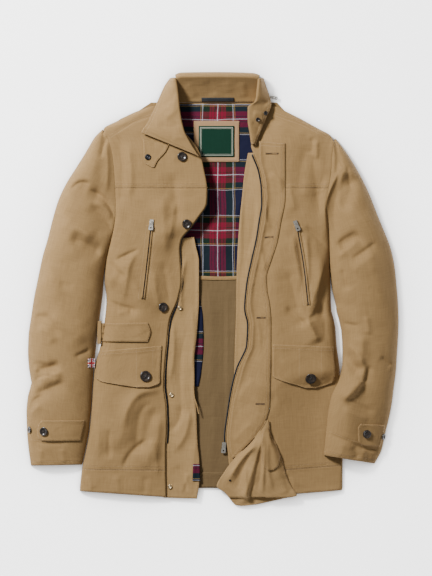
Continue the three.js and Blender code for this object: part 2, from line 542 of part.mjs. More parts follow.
// The points under a grid of outer points, at the wall's thickness along the normals. Normals point
// up where side is 1; low is the least height of a point.
function under(outer, thick, low = 0, side = 1) {
  const point = (k, i) => new THREE.Vector3(...outer[k][i]);
  return outer.map((row, k) =>
    row.map((p, i) => {
      const across = point(k, Math.min(i + 1, row.length - 1)).sub(point(k, Math.max(i - 1, 0)));
      const along = point(Math.min(k + 1, outer.length - 1), i).sub(point(Math.max(k - 1, 0), i));
      const normal = across.cross(along).normalize();
      if (side * normal.z < 0 && Math.abs(normal.z) > 0.02) normal.negate();
      const inner = point(k, i).addScaledVector(normal, -thick);
      return [inner.x, inner.y, Math.max(inner.z, low)];
    }),
  );
}

// Evenly spread places from a to b, closer together near the ends where near is above 1.
function places(count, a = 0, b = 1, nearStart = 1) {
  return Array.from({ length: count + 1 }, (_, k) => mix(a, b, (k / count) ** nearStart));
}

// Places between two rows of a table, so that each facet is at most CELL long.
function rowPlaces(rows, from, to, xKey, yKey, cell = CELL) {
  let length = 0;
  const steps = 60;
  for (let k = 0; k < steps; k += 1) {
    const [a, b] = [mix(from, to, k / steps), mix(from, to, (k + 1) / steps)];
    length += Math.hypot(
      column(rows, xKey, b) - column(rows, xKey, a),
      column(rows, yKey, b) - column(rows, yKey, a),
    );
  }
  return places(Math.max(1, Math.ceil(length / cell)), from, to);
}

// Places between two rows of a front, without the seams at its hem band and yoke.
function frontPlaces(rows, from, to) {
  const gap = SEAM / 2 / 40; // half a seam, as a share of the 40 mm between rows
  const low = from === 0 ? 0 : from + gap;
  const high = to === rows.length - 1 ? to : to - gap;
  return rowPlaces(rows, low, high, "xo", "yo");
}

// One panel of a front between two rows. Returns the grid of its outer face.
function frontPanel(name, rows, folds, from, to) {
  const across = places(9, 0, 1, 1.4);
  const outer = frontPlaces(rows, from, to).map((t) =>
    across.map((u) => frontPoint(rows, folds, u, t)),
  );
  add(name, wall(outer, under(outer, SHELL, SHELL + SEAM)), "shell");
  return outer;
}

// The height of the faces that a list of grids makes, over a point of the surface.
function heightOver(grids, beyond) {
  const faces = grids.flatMap((grid) =>
    grid.slice(1).flatMap((row, k) =>
      row.slice(1).flatMap((d, i) => {
        const [a, b, c] = [grid[k][i], grid[k][i + 1], row[i + 1]];
        return [
          [a, b, c],
          [a, c, row[i]],
        ];
      }),
    ),
  );
  return (x, y) => {
    let highest = -Infinity;
    for (const [a, b, c] of faces) {
      const area = (b[0] - a[0]) * (c[1] - a[1]) - (c[0] - a[0]) * (b[1] - a[1]);
      const v = ((x - a[0]) * (c[1] - a[1]) - (c[0] - a[0]) * (y - a[1])) / area;
      const w = ((b[0] - a[0]) * (y - a[1]) - (x - a[0]) * (b[1] - a[1])) / area;
      if (v >= 0 && w >= 0 && v + w <= 1) {
        highest = Math.max(highest, a[2] + v * (b[2] - a[2]) + w * (c[2] - a[2]));
      }
    }
    return highest > -Infinity ? highest : beyond(x, y);
  };
}

// Raises a grid where the faces between its points would come too near what lies under them.
function clearing(grid, below, gap) {
  const raised = grid.map((row) => row.map((p) => [...p]));
  for (let k = 0; k + 1 < grid.length; k += 1) {
    for (let i = 0; i + 1 < grid[k].length; i += 1) {
      const [a, b, c] = [raised[k][i], raised[k][i + 1], raised[k + 1][i + 1]];
      const d = raised[k + 1][i];
      let short = 0;
      for (const [p, q, r] of [
        [a, b, c],
        [a, c, d],
      ]) {
        for (let v = 0; v <= 4; v += 1) {
          for (let w = 0; v + w <= 4; w += 1) {
            const at = (j) => p[j] + (v / 4) * (q[j] - p[j]) + (w / 4) * (r[j] - p[j]);
            short = Math.max(short, below(at(0), at(1)) + gap - at(2));
          }
        }
      }
      for (const corner of [a, b, c, d]) corner[2] += short;
    }
  }
  return raised;
}

// The flat sheets that lie on the surface under the fronts, between the two outer edges.
function backSheet(name, from, to, inset, low, thick, finish) {
  const steps = Math.max(2, Math.round((to - from) / 16));
  const outer = places(steps, from, to).map((y) => {
    const a = bodyEdge(FRONT_RIGHT, y).x + inset;
    const b = bodyEdge(FRONT_LEFT, y).x - inset;
    return places(2).map((u) => [mix(a, b, u), y, low + thick]);
  });
  const inner = outer.map((row) => row.map(([x, y]) => [x, y, low]));
  add(name, wall(outer, inner), finish);
}

// A point of a sleeve's outer face: u from outer to inner edge, t from shoulder to cuff.
function sleevePoint(rows, body, folds, lift, u, t) {
  const [xo, yo, yi] = ["xo", "yo", "yi"].map((key) => column(rows, key, t));
  const outward = Math.sign(rows[0].xo);
  const edge = bodyEdge(body, yi);
  const xi = edge.x + outward * column(rows, "gap", t);
  const x = mix(xo, xi, u);
  const y = mix(yo, yi, u);
  const foot = mix(SLEEVE_EDGE, edge.z, ease(u));
  const dome = (1 - Math.abs(2 * u - 1) ** 2.4) ** 0.62;
  const z = mix(foot, column(rows, "crown", t), dome);
  return [x, y, z + foldsAt(folds, x, y) * ease(2.4 * dome - 0.8) + lift(x, y)];
}

// A sleeve's top, from fold to fold over the arm, and its underside on the surface. The top is one
// panel for each name, with seams along the arm between them. Returns the grids of their outer faces.
function sleeve(name, panels, rows, body, folds, lift) {
  const spots = rowPlaces(rows, 0, rows.length - 1, "xo", "yo", CELL);
  const across = places(10).map((u) => (1 - Math.cos(Math.PI * u)) / 2);
  const whole = spots.map((t) => across.map((u) => sleevePoint(rows, body, folds, lift, u, t)));
  const inside = under(whole, SHELL, SHELL + SEAM);
  const columns = 10 / panels.length;
  const inward = -Math.sign(rows[0].xo);
  const tops = panels.map((panel, k) => {
    const cut = (grid) =>
      grid.map((row) =>
        row
          .slice(k * columns, (k + 1) * columns + 1)
          .map(([x, y, z], i) => [k > 0 && i === 0 ? x + inward * SEAM : x, y, z]),
      );
    add(panel, wall(cut(whole), cut(inside)), "shell");
    return cut(whole);
  });
  const flat = spots.map((t) =>
    places(lift === noLift ? 2 : 7).map((u) => {
      const [x, y] = sleevePoint(rows, body, folds, lift, u, t);
      return [x, y, lift(x, y) + SHELL];
    }),
  );
  const bottom = flat.map((row) => row.map(([x, y, z]) => [x, y, z - SHELL]));
  add(name + "_under", wall(flat, bottom), "shell");
  return tops;
}

// The height of a sleeve's outer face over a point of the surface.
function sleeveHeight(rows, body, folds, lift) {
  const outward = Math.sign(rows[0].xo);
  const innerX = (t) => bodyEdge(body, column(rows, "yi", t)).x + outward * column(rows, "gap", t);
  return (x, y) => {
    let low = 0;
    let high = rows.length - 1;
    const share = (t) => {
      const xo = column(rows, "xo", t);
      return clamp((x - xo) / (innerX(t) - xo), 0, 1);
    };
    for (let k = 0; k < 30; k += 1) {
      const half = (low + high) / 2;
      if (mix(column(rows, "yo", half), column(rows, "yi", half), share(half)) > y) low = half;
      else high = half;
    }
    return sleevePoint(rows, body, folds, lift, share(low), low)[2];
  };
}
// The grid of a strip that is given by its two sides, with a height for each point.
function strip(rows, across, height, cell = CELL) {
  return rowPlaces(rows, 0, rows.length - 1, "xa", "ya", cell).map((t) =>
    places(across).map((u) => {
      const x = mix(column(rows, "xa", t), column(rows, "xb", t), u);
      const y = mix(column(rows, "ya", t), column(rows, "yb", t), u);
      return [x, y, height(x, y, u, t)];
    }),
  );
}

const lowered = (grid, by) => grid.map((row) => row.map(([x, y, z]) => [x, y, z - by]));

// A piece sewn on top of another: its points are the other's, moved out.
function applied(name, rows, across, below, thick, finish, cell = 12, lap = LAP) {
  const inner = clearing(strip(rows, across, (x, y) => below(x, y) + lap, cell), below, lap);
  const outer = under(inner, -thick);
  add(name, wall(outer, inner), finish);
  return outer;
}

// A frame at a point of a face: Z along the normal, Y along the wanted direction.
function frameOn(height, x, y, alongX, alongY, lift) {
  const step = 3;
  const normal = new THREE.Vector3(
    height(x - step, y) - height(x + step, y),
    height(x, y - step) - height(x, y + step),
    2 * step,
  ).normalize();
  const across = new THREE.Vector3(alongX, alongY, 0).cross(normal).normalize();
  const along = normal.clone().cross(across);
  const frame = new THREE.Matrix4().makeBasis(across, along, normal);
  frame.setPosition(new THREE.Vector3(x, y, height(x, y)).addScaledVector(normal, lift));
  return frame;
}

// The back, its lining and the label
const BACK_TOP = 370.9;
const HEM = -400; // the back's hem, which the fronts hang a little past
const LINING_INSET = 7;
backSheet("back", HEM, BACK_TOP, 0, 0, SHELL, "shell");
backSheet("back_lining_lower", HEM + 10, LINING_SPLIT, LINING_INSET, SHELL + SEAM, LINING, "lining");
backSheet(
  "back_lining_upper",
  LINING_SPLIT + SEAM,
  BACK_TOP,
  LINING_INSET,
  SHELL + SEAM,
  LINING,
  "tartan",
);
const LINING_TOP = SHELL + SEAM + LINING;

// A flat rectangular slab centred on a point.
function slab(name, x, y, wide, deep, low, thick, finish) {
  const box = new THREE.BoxGeometry(wide, deep, thick);
  box.translate(x, y, low + thick / 2);
  add(name, box, finish);
}
slab("label_mount", LABEL.x, LABEL.y, LABEL.wide, LABEL.deep, LINING_TOP + SEAM, 1, "label_mount");
slab(
  "label",
  LABEL.x,
  LABEL.y,
  LABEL.wide - 2 * LABEL.margin,
  LABEL.deep - 2 * LABEL.margin,
  LINING_TOP + 2 * SEAM + 1,
  0.8,
  "label",
);

// The fronts, each of a hem band, a body and a yoke
const lastRight = FRONT_RIGHT.length - 1;
const lastLeft = FRONT_LEFT.length - 1;
const rightGrids = [
  frontPanel("hem_band_right", FRONT_RIGHT, FOLDS_RIGHT, 0, HEM_SEAM),
  frontPanel("front_right", FRONT_RIGHT, FOLDS_RIGHT, HEM_SEAM, YOKE_SEAM_RIGHT),
  frontPanel("yoke_right", FRONT_RIGHT, FOLDS_RIGHT, YOKE_SEAM_RIGHT, lastRight),
];
const leftGrids = [
  frontPanel("hem_band_left", FRONT_LEFT, FOLDS_LEFT, 0, HEM_SEAM),
  frontPanel("front_left", FRONT_LEFT, FOLDS_LEFT, HEM_SEAM, YOKE_SEAM_LEFT),
  frontPanel("yoke_left", FRONT_LEFT, FOLDS_LEFT, YOKE_SEAM_LEFT, lastLeft),
];
const onRight = heightOver(rightGrids, rightHeight);
const onLeft = heightOver(leftGrids, leftHeight);

// The sleeves
const onSleeveRight = heightOver(
  sleeve("sleeve_right", ["sleeve_right_top"], SLEEVE_RIGHT, FRONT_RIGHT, FOLDS_SLEEVE_RIGHT, noLift),
  sleeveHeight(SLEEVE_RIGHT, FRONT_RIGHT, FOLDS_SLEEVE_RIGHT, noLift),
);
const onSleeveLeft = heightOver(
  sleeve(
    "sleeve_left",
    ["sleeve_left_top", "sleeve_left_top_inner"],
    SLEEVE_LEFT,
    FRONT_LEFT,
    FOLDS_SLEEVE_LEFT,
    leftLift,
  ),
  sleeveHeight(SLEEVE_LEFT, FRONT_LEFT, FOLDS_SLEEVE_LEFT, leftLift),
);

// The strips inside the front edges: under the front's edge on one side, near the lining on the other
const FACING_DROP = 4.4; // how far a strip lies below the edge that it is sewn to
const FACING_LOW = { right: 10, left: 7 }; // heights of the strips' free sides
const frontEdgeHeight = (rows, y) => column(rows, "inner", placeOf(rows, "yi", y));
const facingRight = strip(FACING_RIGHT, 3, (x, y, u) =>
  mix(frontEdgeHeight(FRONT_RIGHT, y) - FACING_DROP, FACING_LOW.right, ease(u)),
);
add("facing_right", wall(facingRight, lowered(facingRight, LINING)), "facing");
const facingLeft = strip(FACING_LEFT, 3, (x, y, u) =>
  mix(FACING_LOW.left, frontEdgeHeight(FRONT_LEFT, y) - FACING_DROP, ease(u)),
);
add("facing_left", wall(facingLeft, lowered(facingLeft, LINING)), "facing");
const liningEdge = strip(LINING_EDGE_RIGHT, 2, () => LINING_TOP + SEAM + LINING);
add("lining_edge_right", wall(liningEdge, lowered(liningEdge, LINING)), "tartan");

// The storm flap over the zip, the lower corner that is turned out, and the flap's end on it
const stormFlap = applied("storm_flap", STORM_FLAP, 3, onLeft, SHELL, "shell", 20, 0.8);
const underCorner = heightOver([...leftGrids, stormFlap], () => 0);
const cornerInner = clearing(
  strip(
    TURNED_CORNER,
    9,
    (x, y, u, t) => {
      const round = Math.sqrt(Math.max(0, 1 - (2 * u - 1) ** 2));
      const rise = column(TURNED_CORNER, "rise", t) * round;
      const pleats = Math.max(0, foldsAt(CORNER_PLEATS, x, y));
      return mix(3, leftHeight(x, y) + 2.4, ease((y + 424) / 14)) + 0.8 + rise + pleats;
    },
    18,
  ),
  underCorner,
  0.8,
);
const cornerOuter = under(cornerInner, -SHELL);
add("turned_corner", wall(cornerOuter, cornerInner), "facing");
const onCorner = heightOver([cornerOuter], underCorner);
applied("storm_flap_end", FLAP_END, 3, onCorner, SHELL, "shell", 14);

// Pocket flaps, tabs, chest zips and the tag in the side seam
const flapRight = applied("pocket_flap_right", FLAP_RIGHT, 7, onRight, SHELL, "shell", 14);
const flapLeft = applied("pocket_flap_left", FLAP_LEFT, 7, onLeft, SHELL, "shell", 14);
applied("waist_tab_right", WAIST_TAB, 8, onRight, SHELL, "shell", 14);
const throatTab = applied("throat_tab", THROAT_TAB, 3, onRight, SHELL, "shell", 14);
const tabRight = applied("cuff_tab_right", CUFF_TAB_RIGHT, 7, onSleeveRight, SHELL, "shell", 11);
const tabLeft = applied("cuff_tab_left", CUFF_TAB_LEFT, 6, onSleeveLeft, SHELL, "shell", 11);
applied("chest_zip_right", CHEST_ZIP_RIGHT, 1, onRight, 1, "tape", 18);
applied("chest_zip_left", CHEST_ZIP_LEFT, 1, onLeft, 1, "tape", 18);
const besideSleeve = (x, y) => Math.max(onSleeveRight(x, y), 4);
applied("flag_tag", FLAG_TAG, 3, besideSleeve, 1, "flag", 9);

// One end of the collar: up from its foot, over the fold and down to the free edge.
function collarEnd(name, rows) {
  const grid = rowPlaces(rows, 0, rows.length - 1, "cx", "cy", 13).map((t) => {
    const [bx, by, bz, cx, cy, cz, foot] = ["bx", "by", "bz", "cx", "cy", "cz", "foot"].map(
      (key) => column(rows, key, t),
    );
    const reach = Math.hypot(cx - bx, cy - by);
    const at = (out, z) => [mix(bx, cx, out / reach), mix(by, cy, out / reach), z];
    const bend = [0, 30, 60, 90].map((degrees) => {
      const turn = THREE.MathUtils.degToRad(degrees);
      return at(COLLAR_BEND * (1 - Math.cos(turn)), bz - COLLAR_BEND * (1 - Math.sin(turn)));
    });
    const fall = places(5)
      .slice(1)
      .map((f) => at(mix(COLLAR_BEND, reach, f), mix(bz, cz, f ** 1.8)));
    return [at(0, foot), ...bend, ...fall];
  });
  const inner = grid.map((row, k) => collarInner(grid, row, k));
  add(name, wall(grid, inner), "shell");
  return grid;
}

// The inner points of one row of the collar's end: below its face, and inside its fold.
function collarInner(grid, row, k) {
  const next = grid[Math.min(k + 1, grid.length - 1)];
  const last = grid[Math.max(k - 1, 0)];
  const inside = new THREE.Vector3(...row[row.length - 1]).sub(new THREE.Vector3(...row[0]));
  return row.map((p, i) => {
    const ahead = new THREE.Vector3(...row[Math.min(i + 1, row.length - 1)]);
    const across = ahead.sub(new THREE.Vector3(...row[Math.max(i - 1, 0)]));
    const along = new THREE.Vector3(...next[i]).sub(new THREE.Vector3(...last[i]));
    const normal = across.cross(along).normalize();
    const facesOut = normal.z - 0.5 * Math.sign(normal.dot(inside)) * (1 - Math.abs(normal.z));
    if (facesOut < 0) normal.negate();
    return new THREE.Vector3(...p).addScaledVector(normal, -COLLAR).toArray();
  });
}
collarEnd("collar_right", COLLAR_RIGHT);
const onCollarLeft = heightOver([collarEnd("collar_left", COLLAR_LEFT)], () => 0);

// The collar's back: from the neck seam up its inner face, over the top edge, and down behind.
const backProfile = (t) => {
  const [ax, ay, bx, by, cx, cy, high] = ["ax", "ay", "bx", "by", "cx", "cy", "high"].map((key) =>
    column(COLLAR_BACK, key, t),
  );
  const face = places(5).map((f) => {
    const z = mix(NECK_FOOT, high, f) - 3 * Math.sin(Math.PI * f);
    return [mix(ax, bx, f), mix(ay, by, f), z];
  });
  const rim = [
    [mix(bx, cx, 0.45), mix(by, cy, 0.45), high + 1],
    [mix(bx, cx, 0.85), mix(by, cy, 0.85), high - 4],
    [cx, cy, high * 0.6],
    [mix(bx, cx, 0.95), mix(by, cy, 0.95), 0],
  ];
  return [...face, ...rim];
};
const backOuter = rowPlaces(COLLAR_BACK, 0, COLLAR_BACK.length - 1, "ax", "ay", 16).map(backProfile);
const backInner = backOuter.map((row) =>
  row.map(([x, y, z], i) => {
    const [before, after] = [row[Math.max(i - 1, 0)], row[Math.min(i + 1, row.length - 1)]];
    const [dy, dz] = [after[1] - before[1], after[2] - before[2]];
    const length = Math.hypot(dy, dz);
    return [x, y + (COLLAR * dz) / length, Math.max(0, z - (COLLAR * dy) / length)];
  }),
);
add("collar_back", wall(backOuter, backInner), "shell");

// The hanging loop, a tape across the neck seam
const HANGER = { xa: -21, xb: 44, y: 376, clear: 0.4, thick: 1.4 };
const faceHeight = (y) => {
  const f = (y - 371) / 50;
  return mix(NECK_FOOT, 39, f) - 3 * Math.sin(Math.PI * f);
};
const hangerOuter = [0, 1].map((k) =>
  places(4).map((u) => {
    const y = HANGER.y + (k - 0.5) * HANGER_DEPTH;
    return [mix(HANGER.xa, HANGER.xb, u), y, faceHeight(y) + HANGER.clear + HANGER.thick];
  }),
);
add("hanging_loop", wall(hangerOuter, lowered(hangerOuter, HANGER.thick)), "tape");

// The chain of the main zip, beside a front's inner edge
function zipChain(name, rows, towards, from, to) {
  const spots = places(Math.ceil((to - from) / 20), from, to);
  const centre = spots.map((y) => {
    const t = placeOf(rows, "yi", y);
    return [column(rows, "xi", t), y, column(rows, "inner", t) - FACING_DROP + 0.6 + CHAIN_THICK];
  });
  const outer = centre.map(([x, y, z], k) => {
    const [a, b] = [centre[Math.max(k - 1, 0)], centre[Math.min(k + 1, centre.length - 1)]];
    const length = Math.hypot(b[0] - a[0], b[1] - a[1]);
    const [nx, ny] = [(b[1] - a[1]) / length, -(b[0] - a[0]) / length];
    return [SEAM, SEAM + CHAIN].map((out) => [x + towards * nx * out, y + towards * ny * out, z]);
  });
  add(name, wall(outer, lowered(outer, CHAIN_THICK)), "tape");
}
zipChain("main_zip_right", FRONT_RIGHT, 1, ZIP_STOP_RIGHT, ZIP_TOP_RIGHT);
zipChain("main_zip_left", FRONT_LEFT, -1, ZIP_STOP_LEFT, ZIP_TOP_LEFT);

// A round button with a raised rim, lying on a face.
function button(name, across, height, x, y, finish = "button", thick = 3.2, lift = 0.8) {
  const r = across / 2;
  const profile = [
    [0, 0],
    [r * 0.86, 0],
    [r, thick * 0.45],
    [r * 0.86, thick],
    [r * 0.62, thick * 0.72],
    [0, thick * 0.6],
  ].map(([px, py]) => new THREE.Vector2(px, py));
  const disc = new THREE.LatheGeometry(profile, 12);
  disc.rotateX(Math.PI / 2);
  add(name, disc, finish).applyMatrix4(frameOn(height, x, y, 0, 1, lift));
}
button("pocket_button_right", BUTTON, heightOver([flapRight], onRight), -133, -176);
button("pocket_button_left", BUTTON, heightOver([flapLeft], onLeft), 197, -180);
button("front_button_top", BUTTON * 0.86, onRight, -60, 262);
button("front_button_chest", BUTTON * 0.86, onRight, -50, 128);
button("front_button_waist", BUTTON * 0.86, onRight, -98, -38);
button("cuff_button_right", CUFF_BUTTON, heightOver([tabRight], onSleeveRight), -335, -286);
button("cuff_button_left", CUFF_BUTTON, heightOver([tabLeft], onSleeveLeft), 308, -291);
button("collar_button_upper", SNAP, onCollarLeft, 106, 349, "button", 2.4);
button("collar_button_lower", SNAP, onCollarLeft, 91, 336, "button", 2.4);

const facingHeight = heightOver([facingRight], () => 0);
button("snap_waist", SNAP, facingHeight, -64.5, -40, "metal", 2);
button("snap_hip", SNAP, facingHeight, -81, -214, "metal", 2);
button("snap_hem", SNAP, facingHeight, -84, -397, "metal", 2);
button("snap_throat", THROAT_SNAP, heightOver([throatTab], onRight), -128, 261, "metal", 2);

// Joins closed geometries into one.
function joined(geometries) {
  const solids = geometries.map((geometry) => {
    const merged = mergeVertices(geometry.clone().deleteAttribute("uv").deleteAttribute("normal"));
    return new wasm.Manifold(
      new wasm.Mesh({
        numProp: 3,
        vertProperties: merged.attributes.position.array,
        triVerts: new Uint32Array(merged.index.array),
      }),
    );
  });
  const mesh = wasm.Manifold.union(solids).getMesh();
  const geometry = new THREE.BufferGeometry();
  geometry.setAttribute("position", new THREE.BufferAttribute(mesh.vertProperties, 3));
  geometry.setIndex(Array.from(mesh.triVerts));
  geometry.computeVertexNormals();
  return geometry;
}

const outline = (points) => points.map(([x, y]) => new THREE.Vector2(x, y));

// A slider and the pull that hangs in its arch, on a frame whose Y is the way that the pull lies.
function zipPull(name, frame, scale = 1, slack = 0) {
  const { wide, long, thick, arch, span, window, high } = SLIDER;
  const body = new THREE.BoxGeometry(wide * scale, long * scale, thick);
  body.translate(0, 0, thick / 2);
  const side = new THREE.Shape(
    outline([
      [-span, thick - 0.4],
      [span, thick - 0.4],
      [span * 0.78, high],
      [-span * 0.78, high],
    ]),
  );
  const [low, half] = [thick - 0.1, span - 1];
  side.holes.push(
    new THREE.Path(
      outline([
        [-half, low],
        [-half * 0.9, window],
        [half * 0.9, window],
        [half, low],
      ]),
    ),
  );
  const bridge = new THREE.ExtrudeGeometry(side, { depth: arch, bevelEnabled: false });
  bridge.translate(0, 0, -arch / 2);
  bridge.applyMatrix4(new THREE.Matrix4().makeBasis(
    new THREE.Vector3(0, 1, 0),
    new THREE.Vector3(0, 0, 1),
    new THREE.Vector3(1, 0, 0),
  ));
  add(name + "_slider", joined([body, bridge]), "metal").applyMatrix4(frame);

  const { arm, slot, slotEnd, hole } = PULL;
  const [broad, reach] = [(PULL.wide / 2) * scale, PULL.long * scale + slack];
  const plate = new THREE.Shape(
    outline([
      [-arm, 0],
      [-slot, 0],
      [-slot, slotEnd],
      [slot, slotEnd],
      [slot, 0],
      [arm, 0],
      [arm, slotEnd],
      [broad, slotEnd + 0.25 * (reach - slotEnd)],
      [broad, reach - 1.2],
      [broad - 1.2, reach],
      [1.2 - broad, reach],
      [-broad, reach - 1.2],
      [-broad, slotEnd + 0.25 * (reach - slotEnd)],
      [-arm, slotEnd],
    ]),
  );
  const eye = new THREE.Path();
  eye.absarc(0, mix(slotEnd, reach, 0.56), hole * scale, 0, 2 * Math.PI, true);
  plate.holes.push(eye);
  const flat = new THREE.ExtrudeGeometry(plate, {
    depth: 2 * BAR,
    bevelEnabled: false,
    curveSegments: 5,
  });
  flat.translate(0, 0, -BAR);
  const bar = new THREE.CylinderGeometry(BAR, BAR, 2 * arm, 12);
  bar.rotateZ(Math.PI / 2);
  const pull = add(name + "_pull", joined([flat, bar]), "metal");
  pull.position.set(0, 0, BAR_HIGH);
  pull.applyMatrix4(frame);
}
zipPull("chest_right", frameOn(onRight, -120, 131, -0.1, -1, 1));
zipPull("chest_left", frameOn(onLeft, 167, 129, 0.4, -1, 1));

const turnedTo = (x, y, z, alongX, alongY) => frameOn(() => z, x, y, alongX, alongY, 0);
zipPull("main", turnedTo(24, -313.9, 6, -0.1, -1));
zipPull("hood", turnedTo(120, 381, 3.9, 1, -0.2), 0.7);

// The jacket stands on the middle of its own footprint.
const bounds = new THREE.Box3().setFromObject(root);
root.position.set(
  -(bounds.min.x + bounds.max.x) / 2,
  -(bounds.min.y + bounds.max.y) / 2,
  -bounds.min.z,
);

export default root;
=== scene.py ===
import bpy
import numpy as np
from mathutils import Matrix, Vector
from mathutils.bvhtree import BVHTree


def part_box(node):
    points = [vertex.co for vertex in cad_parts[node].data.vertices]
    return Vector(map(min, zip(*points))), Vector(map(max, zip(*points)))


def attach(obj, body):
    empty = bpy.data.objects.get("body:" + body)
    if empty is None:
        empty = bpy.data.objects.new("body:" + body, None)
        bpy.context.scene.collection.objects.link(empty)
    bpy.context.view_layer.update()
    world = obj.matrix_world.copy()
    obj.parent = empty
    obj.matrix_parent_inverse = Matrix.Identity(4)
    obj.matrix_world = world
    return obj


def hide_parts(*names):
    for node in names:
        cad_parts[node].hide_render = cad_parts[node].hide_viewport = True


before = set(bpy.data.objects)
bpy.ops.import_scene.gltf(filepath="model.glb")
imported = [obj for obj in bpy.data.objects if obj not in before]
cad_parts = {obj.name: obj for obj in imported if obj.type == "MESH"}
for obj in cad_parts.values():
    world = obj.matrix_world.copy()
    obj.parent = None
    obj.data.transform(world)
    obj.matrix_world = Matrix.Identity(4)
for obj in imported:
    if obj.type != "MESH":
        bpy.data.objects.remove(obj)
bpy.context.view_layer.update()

# Camera, table and light
# The jacket lies on a plain white table. The photograph looks straight down at it from far off, and
# soft light comes from the upper left.
VIEW_HEIGHT = 1.152  # metres of table that the picture's long side shows
CAMERA_AT = (0.007, 0.0032, 9.6)  # metres
SENSOR = 36  # width of the camera's sensor, in its own millimetres


def in_scene(name, data):
    """A new object with its data, in the scene."""
    made = bpy.data.objects.new(name, data)
    bpy.context.scene.collection.objects.link(made)
    return made


camera_data = bpy.data.cameras.new("camera")
camera_data.sensor_width = SENSOR
camera_data.lens = SENSOR * CAMERA_AT[2] / VIEW_HEIGHT
camera = in_scene("camera", camera_data)
camera.location = CAMERA_AT
bpy.context.scene.camera = camera

WINDOW_AT = Vector((-1.85, 1.75, 2.15))  # metres
window = bpy.data.lights.new("window", "AREA")
window.size = 0.6  # metres
window.energy = 226  # watts
lamp = in_scene("window", window)
lamp.location = WINDOW_AT
lamp.rotation_euler = (-WINDOW_AT).to_track_quat("-Z", "Y").to_euler()

world = bpy.data.worlds.new("studio")
world.use_nodes = True
sky = world.node_tree.nodes["Background"].inputs
sky["Color"].default_value = (1, 1, 1, 1)
sky["Strength"].default_value = 0.34
bpy.context.scene.world = world


def node(tree, kind, feeds=None, **settings):
    """A shader node with its settings, and its sockets fed by numbers, colours or other sockets."""
    made = tree.nodes.new("ShaderNode" + kind)
    for setting, value in settings.items():
        setattr(made, setting, value)
    for socket, value in (feeds or {}).items():
        if isinstance(value, bpy.types.NodeSocket):
            tree.links.new(value, made.inputs[socket])
        else:
            made.inputs[socket].default_value = value
    return made


def calc(tree, operation, *values, clamp=False):
    """The result of a Math node."""
    return node(tree, "Math", dict(enumerate(values)), operation=operation, use_clamp=clamp).outputs[0]


def surface(name, feeds):
    """A material with one Principled shader. Returns the material, its node tree and the shader."""
    material = bpy.data.materials.new(name)
    material.use_nodes = True
    tree = material.node_tree
    tree.nodes.clear()
    shader = node(tree, "BsdfPrincipled", feeds)
    output = node(tree, "OutputMaterial")
    tree.links.new(shader.outputs[0], output.inputs["Surface"])
    return material, tree, shader


# Painted light: the table glows, though it is no lamp. Its glow is dimmed by ambient occlusion looked for
# towards the lamp. This paints the jacket's soft shadow on it, falling away from the lamp, and darkens narrow
# gaps.
table_top, table_tree, table_shader = surface(
    "white table", {"Base Color": (0.95, 0.95, 0.95, 1), "Roughness": 0.9, "Emission Color": (1, 1, 1, 1)}
)
OPEN_SIDE = (-0.42, 0.40, 0.81)  # the side that the lamp is on, so that the shadow falls away from it
PAINTED_SHADOW_REACH = 0.10  # metres
PAINTED_SHADOW_DEPTH, GLOW = 2.6, 2.3
table_feeds = {"Distance": PAINTED_SHADOW_REACH, "Normal": OPEN_SIDE}
table_open = node(table_tree, "AmbientOcclusion", table_feeds, samples=8).outputs["AO"]
table_painted_glow = calc(table_tree, "MULTIPLY", calc(table_tree, "POWER", table_open, PAINTED_SHADOW_DEPTH), GLOW)
table_tree.links.new(table_painted_glow, table_shader.inputs["Emission Strength"])
TABLE_HALF = 9  # metres
TABLE_BELOW = -0.0004  # metres
CORNERS = ((-1, -1), (1, -1), (1, 1), (-1, 1))
table_corners = [(x * TABLE_HALF, y * TABLE_HALF, TABLE_BELOW) for x, y in CORNERS]
table_mesh = bpy.data.meshes.new("table")
table_mesh.from_pydata(table_corners, [], [(0, 1, 2, 3)])
table_mesh.materials.append(table_top)
in_scene("table", table_mesh)

# Back
# One plain panel of tan cotton twill under everything, sewn to the fronts at the side seams. Only the
# strip along its hem shows, inside the open front.
def group(name, inputs, outputs):
    """An empty shader node group: its inputs and outputs are given as names with their kinds."""
    made = bpy.data.node_groups.new(name, "ShaderNodeTree")
    for direction, sockets in (("INPUT", inputs), ("OUTPUT", outputs)):
        for socket, kind in sockets.items():
            made.interface.new_socket(socket, in_out=direction, socket_type="NodeSocket" + kind)
    return made, made.nodes.new("NodeGroupInput").outputs, made.nodes.new("NodeGroupOutput")


def noise(tree, vector, scale, detail=2.0, roughness=0.5, distortion=0.0):
    """Noise from about 0 to 1, with its middle at 0.5."""
    feeds = {"Vector": vector, "Scale": scale, "Detail": detail, "Roughness": roughness}
    return node(tree, "TexNoise", {**feeds, "Distortion": distortion}).outputs[0]


def vector_calc(tree, operation, *values):
    """The result of a Vector Math node."""
    return node(tree, "VectorMath", dict(enumerate(values)), operation=operation).outputs[0]


def place_in(tree):
    """The place on the object, in metres."""
    return node(tree, "TexCoord").outputs["Object"]


def blend(tree, share, first, second):
    """The colour between two colours, each given as three numbers or as a socket."""
    first, second = ((*end, 1) if isinstance(end, tuple) else end for end in (first, second))
    return node(tree, "Mix", {0: share, 6: first, 7: second}, data_type="RGBA").outputs[2]


def placed(tree, made_group, feeds):
    """A node group placed in a material, with its own values. Returns its output sockets."""
    return node(tree, "Group", feeds, node_tree=made_group).outputs


def dressed(tree, shader, height, colour=None, depth=1.0):
    """Gives a shader a relief, from a height in metres, and a colour."""
    bump = node(tree, "Bump", {"Height": height, "Strength": 1.0, "Distance": depth})
    tree.links.new(bump.outputs[0], shader.inputs["Normal"])
    if colour:
        tree.links.new(colour, shader.inputs["Base Color"])


TURN = 6.283  # a full turn, in radians

